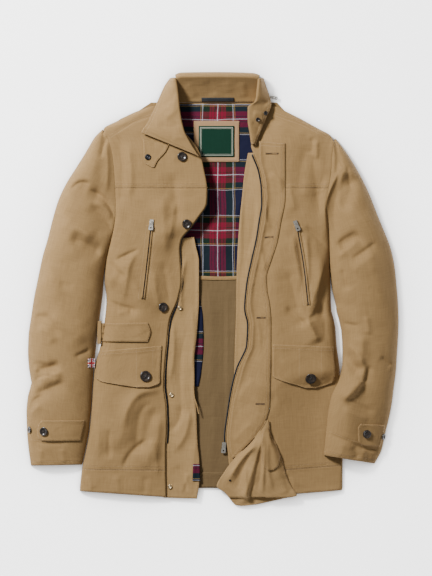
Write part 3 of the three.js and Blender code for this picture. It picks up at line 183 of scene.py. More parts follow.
# Warp and weft threads as fine ribs, and slubs as long thin streaks along the warp. Vector in metres.
weave, w_in, w_out = group(
    "twill weave", {"Vector": "Vector", "Thread": "Float"}, {"Height": "Float", "Streak": "Float"}
)
w_axes = node(weave, "SeparateXYZ", {0: w_in["Vector"]}).outputs
w_turns = calc(weave, "DIVIDE", TURN, w_in["Thread"])
w_warp = calc(weave, "SINE", calc(weave, "MULTIPLY", calc(weave, "ADD", w_axes[0], w_axes[1]), w_turns))
w_weft = calc(weave, "SINE", calc(weave, "MULTIPLY", w_axes[1], w_turns))
w_ribs = calc(weave, "MULTIPLY_ADD", calc(weave, "ADD", w_warp, w_weft), 0.25, 0.5)
weave.links.new(w_ribs, w_out.inputs["Height"])
w_long = noise(weave, vector_calc(weave, "MULTIPLY", w_in["Vector"], (620, 26, 1)), 1.0, 3.0, 0.62)
w_cross = noise(weave, vector_calc(weave, "MULTIPLY", w_in["Vector"], (30, 420, 1)), 1.0, 2.0, 0.5)
w_mixed = calc(weave, "MULTIPLY_ADD", w_cross, 0.35, calc(weave, "MULTIPLY", w_long, 0.65))
weave.links.new(w_mixed, w_out.inputs["Streak"])

# Rumples: small soft creases that come from wear and packing. Vector in metres, Size in metres.
rumple, r_in, r_out = group("rumple", {"Vector": "Vector", "Size": "Float"}, {"Height": "Float"})
r_scale = calc(rumple, "DIVIDE", 1.0, r_in["Size"])
r_soft = noise(rumple, r_in["Vector"], r_scale, 1.6, 0.40, 0.7)
r_fold = calc(rumple, "ABSOLUTE", calc(rumple, "SUBTRACT", r_soft, 0.5))
r_sum = calc(rumple, "MULTIPLY_ADD", r_fold, -1.1, calc(rumple, "MULTIPLY", r_soft, 0.8))
rumple.links.new(r_sum, r_out.inputs["Height"])

# Rows of stitches sunk beside an edge: Distance from the edge and the places of two rows, all in
# millimetres. Groove is 1 in the rows. Pull is 1 around them, where the thread gathers the cloth.
seams, s_in, s_out = group(
    "stitched rows",
    {"Distance": "Float", "First": "Float", "Second": "Float"},
    {"Groove": "Float", "Pull": "Float", "Edge": "Float"},
)
for effect, half in (("Groove", 1.0), ("Pull", 6.0)):  # half of the width in which each fades out
    near = []
    for row in ("First", "Second"):
        away = calc(seams, "ABSOLUTE", calc(seams, "SUBTRACT", s_in["Distance"], s_in[row]))
        near.append(calc(seams, "SUBTRACT", 1.0, calc(seams, "DIVIDE", away, half), clamp=True))
    seams.links.new(calc(seams, "MAXIMUM", *near), s_out.inputs[effect])
PALE_EDGE_WIDE = 1.6  # width of the paler edge
s_off = calc(seams, "DIVIDE", s_in["Distance"], PALE_EDGE_WIDE)
s_edge = calc(seams, "SUBTRACT", 1.0, s_off, clamp=True)
seams.links.new(s_edge, s_out.inputs["Edge"])

SINGLE_ROW = 2.0  # how far a single row of stitches runs inside an edge
DOUBLE_ROWS = (1.8, 8.0)  # the same for a double row
UNSTITCHED = 900.0  # a distance that no row reaches
RUMPLES = ((0.034, 0.0009), (0.0085, 0.00004))  # the sizes of rumples and their heights, in metres
RIB_HIGH, SLUB_HIGH, PUCKER_HIGH, GROOVE_DEEP = 0.00009, 0.00014, 0.0010, -0.0004  # metres
EDGE_PALER = 1.22  # how much paler a stitched edge is


def woven(name, colour, deep, thread=0.0009, relief=1.0, own_cloth=True, sheen=0.04):
    """A woven cotton: colour and its deeper tone, with weave, slubs, rumples and stitched rows. The slubs
    vary towards the deeper tone, the stitched rows are painted darker as shade, and the colour is paler along
    the stitched edges. own_cloth says that the piece carries its own run of the cloth and its seams'
    distances."""
    feeds = {"Roughness": 0.84, "Specular IOR Level": 0.22, "Sheen Weight": sheen, "Sheen Roughness": 0.45}
    material, tree, shader = surface(name, feeds)
    there = place_in(tree)
    along = node(tree, "UVMap", uv_map="cloth").outputs[0] if own_cloth else there
    threads = placed(tree, weave, {"Vector": along, "Thread": thread})
    height = 0.0
    for size, high in RUMPLES:
        creases = placed(tree, rumple, {"Vector": there, "Size": size})
        height = calc(tree, "MULTIPLY_ADD", creases["Height"], high * relief, height)
    height = calc(tree, "MULTIPLY_ADD", threads["Height"], RIB_HIGH, height)
    height = calc(tree, "MULTIPLY_ADD", threads["Streak"], SLUB_HIGH, height)
    slub_tone_and_painted_light = calc(tree, "MULTIPLY_ADD", calc(tree, "SUBTRACT", threads["Streak"], 0.5), 2.6, 0.42)
    paler_edge = 0.0
    if own_cloth:
        fine = noise(tree, along, 210.0, 2.0)
        for attribute, (first, second) in (("hem", (SINGLE_ROW, SINGLE_ROW)), ("seam", DOUBLE_ROWS)):
            away = node(tree, "Attribute", attribute_name=attribute).outputs["Fac"]
            row = placed(tree, seams, {"Distance": away, "First": first, "Second": second})
            pucker = calc(tree, "MULTIPLY", row["Pull"], fine)
            height = calc(tree, "MULTIPLY_ADD", pucker, PUCKER_HIGH, height)
            height = calc(tree, "MULTIPLY_ADD", row["Groove"], GROOVE_DEEP, height)
            # Painted shade: the colour is darkened towards the deeper tone in the stitch grooves and a little
            # over the puckered band round them.
            slub_tone_and_painted_light = calc(tree, "MULTIPLY_ADD", row["Groove"], 0.34, slub_tone_and_painted_light)
            slub_tone_and_painted_light = calc(tree, "MULTIPLY_ADD", row["Pull"], 0.10, slub_tone_and_painted_light)
            # The colour is paler within a narrow band along the stitched edges.
            paler_edge = calc(tree, "MULTIPLY_ADD", row["Edge"], 0.30, paler_edge)
    paler_edge_colour = tuple(min(1.0, EDGE_PALER * part) for part in colour)
    dressed(tree, shader, height, blend(tree, paler_edge, blend(tree, slub_tone_and_painted_light, colour, deep), paler_edge_colour))
    return material


TAN = (0.284, 0.176, 0.071)
DEEP_TAN = (0.214, 0.128, 0.049)
cotton = woven("tan cotton", TAN, DEEP_TAN)
plain_cotton = woven("tan cotton, plain", TAN, DEEP_TAN, own_cloth=False)


def finish_nodes(material, *names):
    """Gives CAD nodes a material in place of their own."""
    for name in names:
        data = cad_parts[name].data
        data.materials.clear()
        data.materials.append(material)


finish_nodes(plain_cotton, "back", "sleeve_right_under", "sleeve_left_under")

# Back lining
# The back is lined in two parts, joined under a narrow folded strip: a woven tartan from the neck to the
# waist, and below it a plain cotton painted darker with the shade inside the jacket. Both lie loose on the
# back, and hardly crease.
DRAWN_LABEL = Vector((9, 293, 0))  # the label's middle in the jacket's own drawing
label_low, label_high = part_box("label")
shift = (label_low + label_high) / 2 - DRAWN_LABEL / 1000
shift.z = 0


def metres(points):
    """Points of the jacket's drawing, in millimetres, as places in the frame."""
    return np.asarray(points, float) / 1000 + np.array(shift)


def ease(f):
    c = np.clip(f, 0, 1)
    return c * c * (3 - 2 * c)


def mix(a, b, f):
    return a + (b - a) * f


def grid_normals(grid):
    """The normals of a grid of points, with most of them pointing up."""
    normal = np.cross(np.gradient(grid, axis=1), np.gradient(grid, axis=0))
    normal /= np.linalg.norm(normal, axis=2, keepdims=True) + 1e-12
    turned = normal[..., 2].mean() < 0
    return -normal if turned else normal


def runs(grid):
    """How far each point of a grid is from its left, right, bottom and top sides, along the cloth."""
    across = np.linalg.norm(np.diff(grid, axis=1), axis=2)
    along = np.linalg.norm(np.diff(grid, axis=0), axis=2)
    left = np.concatenate([np.zeros((grid.shape[0], 1)), np.cumsum(across, axis=1)], axis=1)
    bottom = np.concatenate([np.zeros((1, grid.shape[1])), np.cumsum(along, axis=0)], axis=0)
    return {"L": left, "R": left[:, -1:] - left, "B": bottom, "T": bottom[-1:] - bottom}


def flat_grid(x_ends, y_ends, columns, rows):
    """The x and the y of a flat rectangular grid."""
    return np.meshgrid(np.linspace(*x_ends, columns), np.linspace(*y_ends, rows))


def quads(rows, columns):
    """The corner numbers of the cells of a grid."""
    first = (np.arange(rows - 1)[:, None] * columns + np.arange(columns - 1)).reshape(-1)
    return np.stack([first, first + 1, first + columns + 1, first + columns], axis=1)


def closed_wall(outer, inner):
    """Points and faces of a closed wall between two grids of the same size."""
    rows, columns = outer.shape[:2]
    count = rows * columns
    top = quads(rows, columns)
    sides = [
        np.arange(columns),
        np.arange(1, rows) * columns + columns - 1,
        (rows - 1) * columns + np.arange(columns - 2, -1, -1),
        np.arange(rows - 2, 0, -1) * columns,
    ]
    ring = np.concatenate(sides)
    following = np.roll(ring, -1)
    rim = np.stack([following, ring, ring + count, following + count], axis=1)
    faces = np.concatenate([top, top[:, ::-1] + count, rim])
    sideways = np.cross(outer[0, 1] - outer[0, 0], outer[1, 1] - outer[0, 0])
    if np.dot(sideways, outer[0, 0] - inner[0, 0]) < 0:
        faces = faces[:, ::-1]
    return np.concatenate([outer.reshape(-1, 3), inner.reshape(-1, 3)]), faces


def meshed(name, points, faces, material, slot, stands_for=(), smooth=True):
    """A piece of the jacket from points in millimetres, riding on the jacket."""
    data = bpy.data.meshes.new(name)
    data.from_pydata(metres(points).tolist(), [], faces if isinstance(faces, list) else faces.tolist())
    data.materials.append(material)
    data.shade_smooth() if smooth else data.shade_flat()
    made = in_scene(name, data)
    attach(made, "jacket")
    if stands_for:
        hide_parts(*stands_for)
    return made


JACKET_FLOOR = 1.9  # the lining side of a panel stays above the back
SOFT_BORDER = 0.3  # how far a panel's sides are rounded off, as a share of its thickness
SHEET_LEAST = 0.01  # metres: a narrower piece is tape or trim, not a sheet
AREA_LEAST = 0.301  # least area of a sheet, as a share of its width times its length


def cloth(name, grid, thick, material, slot, stands_for=(), hem="", seam="", floor=0.0):
    """A panel of cloth from the grid of its outer face. hem and seam name the sides with a single or
    a double row of stitches: L, R, B or T. Returns what is needed to sew on it."""
    grid = np.asarray(grid, float)
    normal = grid_normals(grid)
    inner = grid - thick * normal
    inner[..., 2] = np.maximum(inner[..., 2], floor)
    outer = grid.copy()
    for border in (np.s_[0], np.s_[-1], np.s_[:, 0], np.s_[:, -1]):
        outer[border] -= SOFT_BORDER * thick * normal[border]
    piece = meshed(name, *closed_wall(outer, inner), material, slot, stands_for)
    side = runs(grid)
    for attribute, sides in (("hem", hem), ("seam", seam)):
        away = np.full(grid.shape[:2], UNSTITCHED)
        for letter in sides:
            away = np.minimum(away, side[letter])
        layer = piece.data.attributes.new(attribute, "FLOAT", "POINT")
        layer.data.foreach_set("value", np.tile(away.reshape(-1), 2))
    flat_run = np.stack([side["L"], side["B"]], axis=2).reshape(-1, 2) / 1000
    corner = np.empty(len(piece.data.loops), np.int32)
    piece.data.loops.foreach_get("vertex_index", corner)
    flat_run = np.tile(flat_run, (2, 1))[corner].reshape(-1)
    piece.data.uv_layers.new(name="cloth").data.foreach_set("uv", flat_run)
    wide, long = side["L"][:, -1].max() / 1000, side["B"][-1].max() / 1000
    cells = np.cross(grid[1:, 1:] - grid[:-1, :-1], grid[1:, :-1] - grid[:-1, 1:])
    area = 0.5 * np.linalg.norm(cells, axis=2).sum() / 1e6
    area = float(np.clip(area, AREA_LEAST * wide * long, wide * long))
    min(wide, long) >= SHEET_LEAST
    return {"grid": grid, "normal": normal, "side": side}


def sink(grid, side, depth, reach=2.6):
    """Presses a side of a panel down, as where it is stitched to its neighbour."""
    lowered = grid.copy()
    lowered[..., 2] -= depth * np.exp(-((runs(grid)[side] / reach) ** 2))
    return lowered


CREASE_BROAD, CREASE_HIGH = 1.15, 1.35  # times the listed width and height
CREASE_LEAN = 0.35  # how much one flank is steeper than the other
CREASE_TAPER = 0.25  # of a crease's length, at both ends


def creased(creases, x, y):
    """The height that creases add. Each has its width, its height (below 0 for a trough) and the places
    of the table that it runs through, which are rounded to a smooth path. It tapers to both ends, and
    its left flank is the steeper one."""
    total = np.zeros(np.broadcast(x, y).shape)
    for wide, high, *places in creases:
        path = np.array(places, float)
        for _ in range(2 if len(path) > 2 else 0):
            cut = np.stack([mix(path[:-1], path[1:], 0.25), mix(path[:-1], path[1:], 0.75)], axis=1)
            path = np.concatenate([path[:1], cut.reshape(-1, 2), path[-1:]])
        steps = np.linalg.norm(np.diff(path, axis=0), axis=1)
        run = np.concatenate([[0], np.cumsum(steps)])
        near, off, along = (np.full(total.shape, value) for value in (1e9, 0.0, 0.0))
        for (ax, ay), (bx, by), step, start in zip(path, path[1:], steps, run):
            s = np.clip(((x - ax) * (bx - ax) + (y - ay) * (by - ay)) / step**2, 0, 1)
            right, up = x - ax - s * (bx - ax), y - ay - s * (by - ay)
            away = np.hypot(right, up)
            closer = away < near
            near = np.where(closer, away, near)
            off = np.where(closer, (up * (bx - ax) - right * (by - ay)) / step, off)
            along = np.where(closer, start + s * step, along)
        broad = CREASE_BROAD * wide * (1 - CREASE_LEAN * np.tanh(off / wide))
        taper = ease(along / run[-1] / CREASE_TAPER) * ease((1 - along / run[-1]) / CREASE_TAPER)
        total += CREASE_HIGH * high * taper * np.exp(-((near / broad) ** 1.5))
    return total


def waviness(x, y, size, seed):
    """Smooth seeded unevenness from -1 to 1, whose bumps are about size across."""
    lattice = np.random.default_rng(seed).uniform(-1, 1, (80, 80))
    gx, gy = np.mod(x / size + 40, 78), np.mod(y / size + 40, 78)
    ix, iy = gx.astype(int), gy.astype(int)
    fx, fy = ease(gx - ix), ease(gy - iy)
    low = mix(lattice[iy, ix], lattice[iy, ix + 1], fx)
    return mix(low, mix(lattice[iy + 1, ix], lattice[iy + 1, ix + 1], fx), fy)


def uneven(x, y, seed):
    """The soft unevenness of washed cotton, in millimetres."""
    broad = 0.75 * waviness(x + 0.35 * y, y - 0.2 * x, 46, seed)
    middle = 0.42 * waviness(x - 0.4 * y, y + 0.3 * x, 21, seed + 1)
    return broad + middle + 0.06 * waviness(x, y, 10, seed + 2)


SHELL = 1.6  # wall of the outer cotton
LINING = 1.2  # wall of the lining
LINING_RESTS = 1.9  # height of the lining's underside
LINING_TOP = LINING_RESTS + LINING
LINING_SPLIT = 21  # where the tartan ends
LINING_ENDS = (-389, 368)
LINING_WIDE = 480
LINING_LOOSE = 0.5  # how far it lies off what is below it


def table(columns, *rows):
    """A table of measures, row by row. The first entry names its columns."""
    return [dict(zip(columns.split(), row)) for row in rows]


LINING_SIDES = table(
    "y right left",
    (-400, -257, 254), (-300, -241, 254), (-175, -229, 249), (-127, -219, 243), (-47, -206, 231),
    (20, -208, 229), (114, -191, 226), (162, -186, 221), (210, -187, 228), (290, -198, 236),
    (306, -203, 228), (322, -199, 198), (340, -166, 162), (355, -128, 126), (371, -92, 98),
)

# The tartan's sett: bands from the middle of the red to the middle of the navy, as the distance at
# which each ends, in millimetres, and its colour.
RED = (0.150, 0.002, 0.018)
GREEN = (0.003, 0.014, 0.007)
NAVY = (0.004, 0.005, 0.024)
WHITE = (0.46, 0.46, 0.50)
YELLOW = (0.30, 0.20, 0.05)
SETT_ACROSS = [(0.8, WHITE), (4.5, RED), (6.0, GREEN), (11.5, RED), (12.6, GREEN), (16.0, RED),
               (29.5, GREEN), (30.8, WHITE), (33.0, NAVY), (34.2, YELLOW), (61.0, NAVY)]
SETT_ALONG = [(0.7, WHITE), (4.6, RED), (5.8, GREEN), (15.5, RED), (26.0, GREEN), (27.2, YELLOW),
              (29.0, NAVY), (30.0, WHITE), (55.5, NAVY)]
SETT_MIDDLE = (11.6, 337.0)  # where two white lines cross, in the drawing
TWILL_STEP = 0.0011  # metres

sett, t_in, t_out = group(
    "tartan sett", {"Vector": "Vector", "Middle": "Vector"}, {"Color": "Color", "Twill": "Float"}
)
t_axes = node(sett, "SeparateXYZ", {0: vector_calc(sett, "SUBTRACT", t_in["Vector"], t_in["Middle"])}).outputs
t_slant = calc(sett, "ADD", t_axes[0], t_axes[1])
t_twill = calc(sett, "SINE", calc(sett, "MULTIPLY", t_slant, TURN / TWILL_STEP))
t_share = calc(sett, "MULTIPLY_ADD", t_twill, 0.34, 0.5)
banded = []  # the colours of both sets of threads, which repeat and mirror about their middle
for axis, bands in enumerate((SETT_ACROSS, SETT_ALONG)):
    half = bands[-1][0] / 1000
    folded = calc(sett, "PINGPONG", calc(sett, "ABSOLUTE", t_axes[axis]), half)
    ramp = node(sett, "ValToRGB", {0: calc(sett, "DIVIDE", folded, half)})
    ramp.color_ramp.interpolation = "CONSTANT"
    stops = ramp.color_ramp.elements
    while len(stops) < len(bands):
        stops.new(1.0)
    starts = [0.0] + [end / 1000 / half for end, colour in bands]
    for stop, start, (end, colour) in zip(stops, starts, bands):
        stop.position = start
        stop.color = (*colour, 1)
    banded.append(ramp.outputs[0])
sett.links.new(blend(sett, t_share, *banded), t_out.inputs["Color"])
sett.links.new(t_share, t_out.inputs["Twill"])


def tartan_cloth(name, middle):
    """Tartan lining cotton, with the sett's middle at a place of the drawing."""
    material, tree, shader = surface(name, {"Roughness": 0.8, "Specular IOR Level": 0.2})
    there = place_in(tree)
    pulled = calc(tree, "MULTIPLY", calc(tree, "SUBTRACT", noise(tree, there, 14.0, 1.0), 0.5), 0.007)
    bent = vector_calc(tree, "ADD", there, node(tree, "CombineXYZ", {0: pulled, 1: pulled}).outputs[0])
    threads = placed(tree, sett, {"Vector": bent, "Middle": tuple(metres((*middle, 0)))})
    creases = placed(tree, rumple, {"Vector": there, "Size": 0.030})
    height = calc(tree, "MULTIPLY", creases["Height"], 0.0014)
    dressed(tree, shader, calc(tree, "MULTIPLY_ADD", threads["Twill"], 0.00010, height), threads["Color"])
    return material


tartan = tartan_cloth("tartan", SETT_MIDDLE)
# Painted shade: the shell's tan at about half its brightness, for the shade inside the jacket. The back's hem
# band wears it too.
lining_cotton_painted_shade = woven(
    "lining cotton, painted shade", (0.142, 0.092, 0.040), (0.106, 0.067, 0.028), thread=0.0007, sheen=0.05
)

LINING_FOLDS = [
    (2.2, -1.1, (25, 14), (27, -386)), (5, 0.9, (29, 12), (31, -384)),
    (12, 1.2, (-8, 10), (2, -110), (-4, -230)), (9, 1.4, (50, -20), (41, -135), (44, -250)),
    (10, 1.1, (10, -180), (-2, -380)), (14, 1.5, (-150, 0), (-140, -300)),
    (14, 1.5, (160, -10), (150, -330)),
]
TARTAN_FOLDS = [
    (9, 1.4, (-16, 120), (15, 95), (34, 60)), (8, 1.3, (66, 200), (30, 90)), (7, 1.2, (-30, 70), (-18, 30)),
    (15, 1.6, (-150, 250), (-120, 80)), (15, 1.6, (170, 240), (150, 70)),
]


def lining_sheet(y_from, y_to, folds, seed, cell=4.0, rise=0.0):
    """The outer face of a sheet of lining across the whole back."""
    y = np.linspace(y_from, y_to, int((y_to - y_from) / cell) + 2)[:, None]
    levels = [row["y"] for row in LINING_SIDES]
    right, left = (np.interp(y, levels, [row[end] for row in LINING_SIDES]) for end in ("right", "left"))
    x, y = np.broadcast_arrays(mix(right, left, np.linspace(0, 1, int(LINING_WIDE / cell))[None, :]), y)
    height = LINING_TOP + LINING_LOOSE + rise + 0.5 * uneven(x, y, seed) + creased(folds, x, y)
    return np.stack([x, y, np.maximum(height, LINING_TOP)], axis=2)


cloth(
    "lining_lower", lining_sheet(LINING_ENDS[0], LINING_SPLIT - 2, LINING_FOLDS, 3), LINING, lining_cotton_painted_shade,
    "lining", ["back_lining_lower"], floor=LINING_RESTS,
)
cloth(
    "lining_upper", lining_sheet(LINING_SPLIT - 1.6, LINING_ENDS[1], TARTAN_FOLDS, 5), LINING, tartan,
    "tartan", ["back_lining_upper"], floor=LINING_RESTS,
)
lining_strip = lining_sheet(LINING_SPLIT - 3.4, LINING_SPLIT + 4.2, [], 7, cell=1.4, rise=1.4)
lining_strip[..., 1] -= 2.2 * np.exp(-(((lining_strip[..., 0] - 16) / 40) ** 2))
cloth("lining_strip", lining_strip, 0.9, cotton, "facing", hem="B")

# Back hem
# The back's hem is turned in and stitched down in a band, over the end of the lower lining.
hem_x, hem_y = flat_grid((-234, 236), (-399.4, -368), 150, 13)
hem_z = LINING_TOP + 2.2 + 0.4 * uneven(hem_x, hem_y, 9)
# The hem band wears the lining's cotton, painted darker with the shade inside the jacket.
cloth(
    "back_hem_band", np.stack([hem_x, hem_y, hem_z], axis=2), SHELL, lining_cotton_painted_shade, "lining", seam="T",
    hem="B", floor=LINING_RESTS,
)

# Fronts
# Each front is a body panel with a yoke sewn on above and a hem band below, double stitched at both
# seams. They lie over the back from the side seams in, thick with lining and pocket bags.
FRONT_RIGHT = table(
    "xo yo xi yi edge crown roll inner shelf",
    (-265, -406, -92, -418, 3, 16, 42, 12, 0), (-260, -362, -93, -364, 3, 18, 42, 13, 0),
    (-252, -324, -93, -322, 3, 20, 40, 14, 0), (-245, -284, -91, -284, 3, 22, 38, 14, 0),
    (-241, -240, -92, -240, 3, 22, 36, 14, 0), (-238, -194, -97, -194, 3, 22, 34, 14, 0),
    (-234, -156, -95, -156, 3, 22, 34, 15, 0), (-222, -112, -91, -112, 3, 22, 34, 15, 0),
    (-215, -68, -86, -66, 3, 23, 34, 15, 0), (-211, -22, -69, -22, 3, 24, 34, 16, 0),
    (-215, 16, -62, 16, 4, 26, 32, 16, 0), (-212, 52, -64, 54, 8, 27, 32, 16, 0),
    (-207, 76, -65, 76, 11, 27, 30, 17, 0), (-202, 96, -62, 96, 13, 28, 30, 20, 0),
    (-197, 118, -44, 119, 14, 28, 30, 26, 0), (-194, 140, -28, 141, 14, 28, 30, 30, 0),
    (-193, 170, -11, 170, 14, 28, 30, 30, 0), (-194, 200, -10, 200, 14, 28, 30, 29, 0),
    (-196, 232, -16, 236, 14, 28, 30, 28, 0), (-199, 264, -23, 266, 12, 27, 30, 26, 0),
    (-206, 292, -38, 292, 8, 25, 30, 22, 0), (-217, 317, -54, 310, 6, 22, 30, 18, 0),
    (-188, 335, -70, 328, 3, 18, 28, 15, 0), (-156, 351, -88, 348, 3, 14, 24, 12, 0),
    (-122, 363, -104, 363, 3, 9, 12, 9, 0),
)
FRONT_LEFT = table(
    "xo yo xi yi edge crown roll inner shelf",
    (261, -404, 62, -420, 3, 14, 60, 8, 10), (261, -354, 36, -372, 3, 18, 50, 9, 46),
    (261, -328, 32, -332, 3, 20, 46, 10, 46), (261, -294, 29, -298, 3, 22, 42, 11, 46),
    (259, -248, 35, -248, 3, 24, 38, 12, 42), (257, -200, 43, -200, 3, 24, 36, 13, 24),
    (255, -162, 53, -162, 3, 24, 36, 14, 0), (249, -114, 73, -114, 3, 24, 36, 15, 0),
    (246, -74, 75, -74, 3, 24, 36, 16, 0), (238, -40, 69, -40, 3, 25, 36, 16, 0),
    (237, 6, 73, 6, 4, 26, 36, 16, 0), (235, 52, 82, 52, 8, 27, 34, 17, 0),
    (234, 96, 92, 96, 12, 28, 32, 18, 0), (232, 134, 98, 134, 14, 28, 30, 19, 0),
    (228, 168, 103, 168, 14, 28, 30, 20, 0), (233, 200, 102, 200, 14, 28, 30, 20, 0),
    (238, 232, 97, 232, 14, 28, 30, 19, 0), (240, 264, 85, 264, 12, 26, 30, 17, 0),
    (243, 290, 78, 284, 6, 24, 30, 15, 0), (236, 306, 85, 302, 3, 21, 30, 14, 0),
    (212, 319, 94, 320, 3, 18, 28, 13, 0), (184, 335, 102, 336, 3, 15, 26, 11, 0),
    (152, 351, 110, 352, 3, 11, 20, 9, 0), (130, 362, 117, 363, 3, 8, 10, 8, 0),
)
HEM_SEAM = 1  # the row on which the hem band is sewn on
YOKE_SEAM_RIGHT = 17
YOKE_SEAM_LEFT = 15
SHELF_HIGH = 8  # height of the cloth that the left sleeve presses down
ARMHOLE_SUNK = 0.8  # depth of the armhole's seam

# Creases and folds as soft ridges (high above 0) and troughs (high below 0)
FOLDS_RIGHT = [
    (16, 5, (-196, 60), (-120, -40)), (14, -4, (-205, 20), (-150, -60)), (13, 4, (-186, 270), (-190, 110)),
    (12, -3.6, (-80, 236), (-66, 120)), (14, 4, (-100, 190), (-92, 60)),
    (20, 4, (-150, -216), (-196, -330)), (16, -4, (-110, -230), (-150, -340)),
    (13, 4, (-104, -250), (-112, -350)), (8, 2.4, (-168, 290), (-160, 230), (-166, 170)),
    (8, -3.4, (-212, 58), (-196, 40), (-172, 16)), (5, -2.8, (-194, 54), (-170, 66), (-144, 78)),
    (7, 2.6, (-144, 80), (-166, 50), (-173, 0), (-179, -32)),
    (4.5, -2.8, (-212, -22), (-186, -36), (-146, -46)), (4, 1.8, (-190, -50), (-162, -45)),
    (8, 3.6, (-94, -204), (-142, -206), (-168, -234), (-181, -284)),
    (9, -2.6, (-108, -224), (-142, -238), (-150, -280), (-152, -334)),
    (6, -3.2, (-180, -364), (-164, -328), (-122, -298)), (13, 2.4, (-118, -296), (-134, -364)),
    (6, -2.8, (-206, -280), (-205, -345)), (7, 1.8, (-232, -210), (-226, -340)),
    (6, 1.8, (-72, 180), (-78, 140), (-86, 90)), (8, -2.2, (-100, 56), (-90, 8), (-84, -40)),
    (8, 2.0, (-118, 40), (-112, -6), (-106, -50)), (9, 1.6, (-110, 300), (-60, 250)),
    (9, 2.0, (-120, -300), (-112, -340), (-108, -384)), (6, 1.6, (-250, -372), (-236, -404)),
    (7, 1.4, (-190, -372), (-186, -412)), (6, -1.4, (-132, -374), (-136, -414)),
    (3, -0.9, (-114, 347), (-158, 332), (-204, 302)),
]
FOLDS_LEFT = [
    (13, 6, (232, 70), (190, -60)), (12, 5, (190, -60), (214, -112)), (12, -5, (236, 20), (214, -70)),
    (12, -4, (150, 40), (176, -60)), (14, -4, (196, 290), (214, 150)), (22, 4, (176, -216), (190, -370)),
    (14, -4, (150, -240), (160, -340)), (14, -2.6, (192, 300), (176, 240), (170, 180)),
    (6, -2.4, (201, 304), (198, 264)), (5, 2.2, (209, 296), (208, 254)),
    (8, 1.8, (234, 64), (218, 22), (210, -24)), (7, 3.0, (158, 110), (170, 50), (178, -6)),
    (6, -2.2, (170, 108), (180, 50), (185, 0)), (6, 2.4, (186, 116), (192, 60), (190, -4)),
    (6, 2.6, (214, -14), (204, -44), (188, -62), (204, -92), (211, -112)),
    (6, -3.0, (146, -36), (172, -62), (194, -78)), (8, -1.4, (232, -20), (224, -60), (226, -116)),
    (10, -2.6, (236, -160), (226, -250), (220, -338)), (9, -2.0, (120, -206), (128, -240), (136, -276)),
    (8, 1.8, (152, 210), (166, 150)), (9, 1.6, (172, -330), (180, -400)),
    (6, -1.5, (150, -370), (160, -412)), (7, 1.6, (210, -366), (206, -408)),
    (9, 1.8, (120, 330), (156, 320), (190, 300)), (3, -0.9, (126, 347), (180, 328), (234, 300)),
]

ARMHOLE_FOLDS = [  # those of the right and of the left side that run on from front to sleeve
    [
        (7, 2.8, (-213, 306), (-207, 240), (-212, 184)), (9, -3.0, (-188, 314), (-178, 240), (-184, 150)),
        (5, -2.6, (-208, 306), (-217, 284), (-222, 256)),
        (5, -4.0, (-250, 197), (-222, 186), (-204, 164), (-190, 128)),
        (6, 2.4, (-238, 176), (-212, 164), (-198, 136)), (7, -4.0, (-244, 168), (-216, 146), (-196, 108)),
    ],
    [
        (6, 4.2, (262, 250), (240, 208), (225, 168), (226, 130), (233, 78)),
        (9, -4.4, (258, 222), (243, 166), (243, 120), (248, 80)),
        (6, 2.6, (240, 302), (245, 262), (242, 222)), (6, -3.4, (184, 126), (210, 102), (236, 72)),
        (7, -2.4, (226, 236), (214, 190), (214, 140)),
    ],
]


def column(rows, key, t):
    """A column of a table at places between its rows, smooth and without overshoot."""
    value = np.array([row[key] for row in rows], float)
    step = np.diff(value)
    product = step[:-1] * step[1:]
    safe = np.where(product > 0, step[:-1] + step[1:], 1)
    inside = np.where(product > 0, 2 * product / safe, 0)
    slope = np.concatenate([step[:1], inside, step[-1:]])
    t = np.asarray(t, float)
    i = np.clip(np.floor(t).astype(int), 0, len(rows) - 2)
    f = t - i
    return (
        value[i] * (2 * f**3 - 3 * f**2 + 1)
        + slope[i] * (f**3 - 2 * f**2 + f)
        + value[i + 1] * (3 * f**2 - 2 * f**3)
        + slope[i + 1] * (f**3 - f**2)
    )


def measures(rows, t):
    """All columns of a table at places between its rows."""
    return {key: column(rows, key, t) for key in rows[0]}


def row_at(rows, key, wanted):
    """The place in a table at which a column that rises or falls all along has a value."""
    t = np.linspace(0, len(rows) - 1, 60 * len(rows))
    value = column(rows, key, t)
    order = np.argsort(value)
    return np.interp(wanted, value[order], t[order])


def spread(rows, start, end, x, y, cell):
    """Places between two rows of a table, about cell apart, as a column."""
    t = np.linspace(start, end, 200)
    long = np.hypot(np.diff(column(rows, x, t)), np.diff(column(rows, y, t))).sum()
    return np.linspace(start, end, int(long / cell) + 2)[:, None]


ARMHOLE_FOOT = 50
ARMHOLE_TOP = {"right": 330, "left": 314}
FRONT_UNEVEN, SLEEVE_UNEVEN = 1.2, 1.3
EDGE_CLOSER = 1.12  # above 1, the grid is closer towards the outer edge


def armhole(rows, y):
    """Where the shell runs on from front to sleeve: 1 along the upper armhole, 0 below and above."""
    top = ARMHOLE_TOP["right" if rows is FRONT_RIGHT else "left"]
    return ease((y - ARMHOLE_FOOT) / 130) * ease((top - y) / 24)


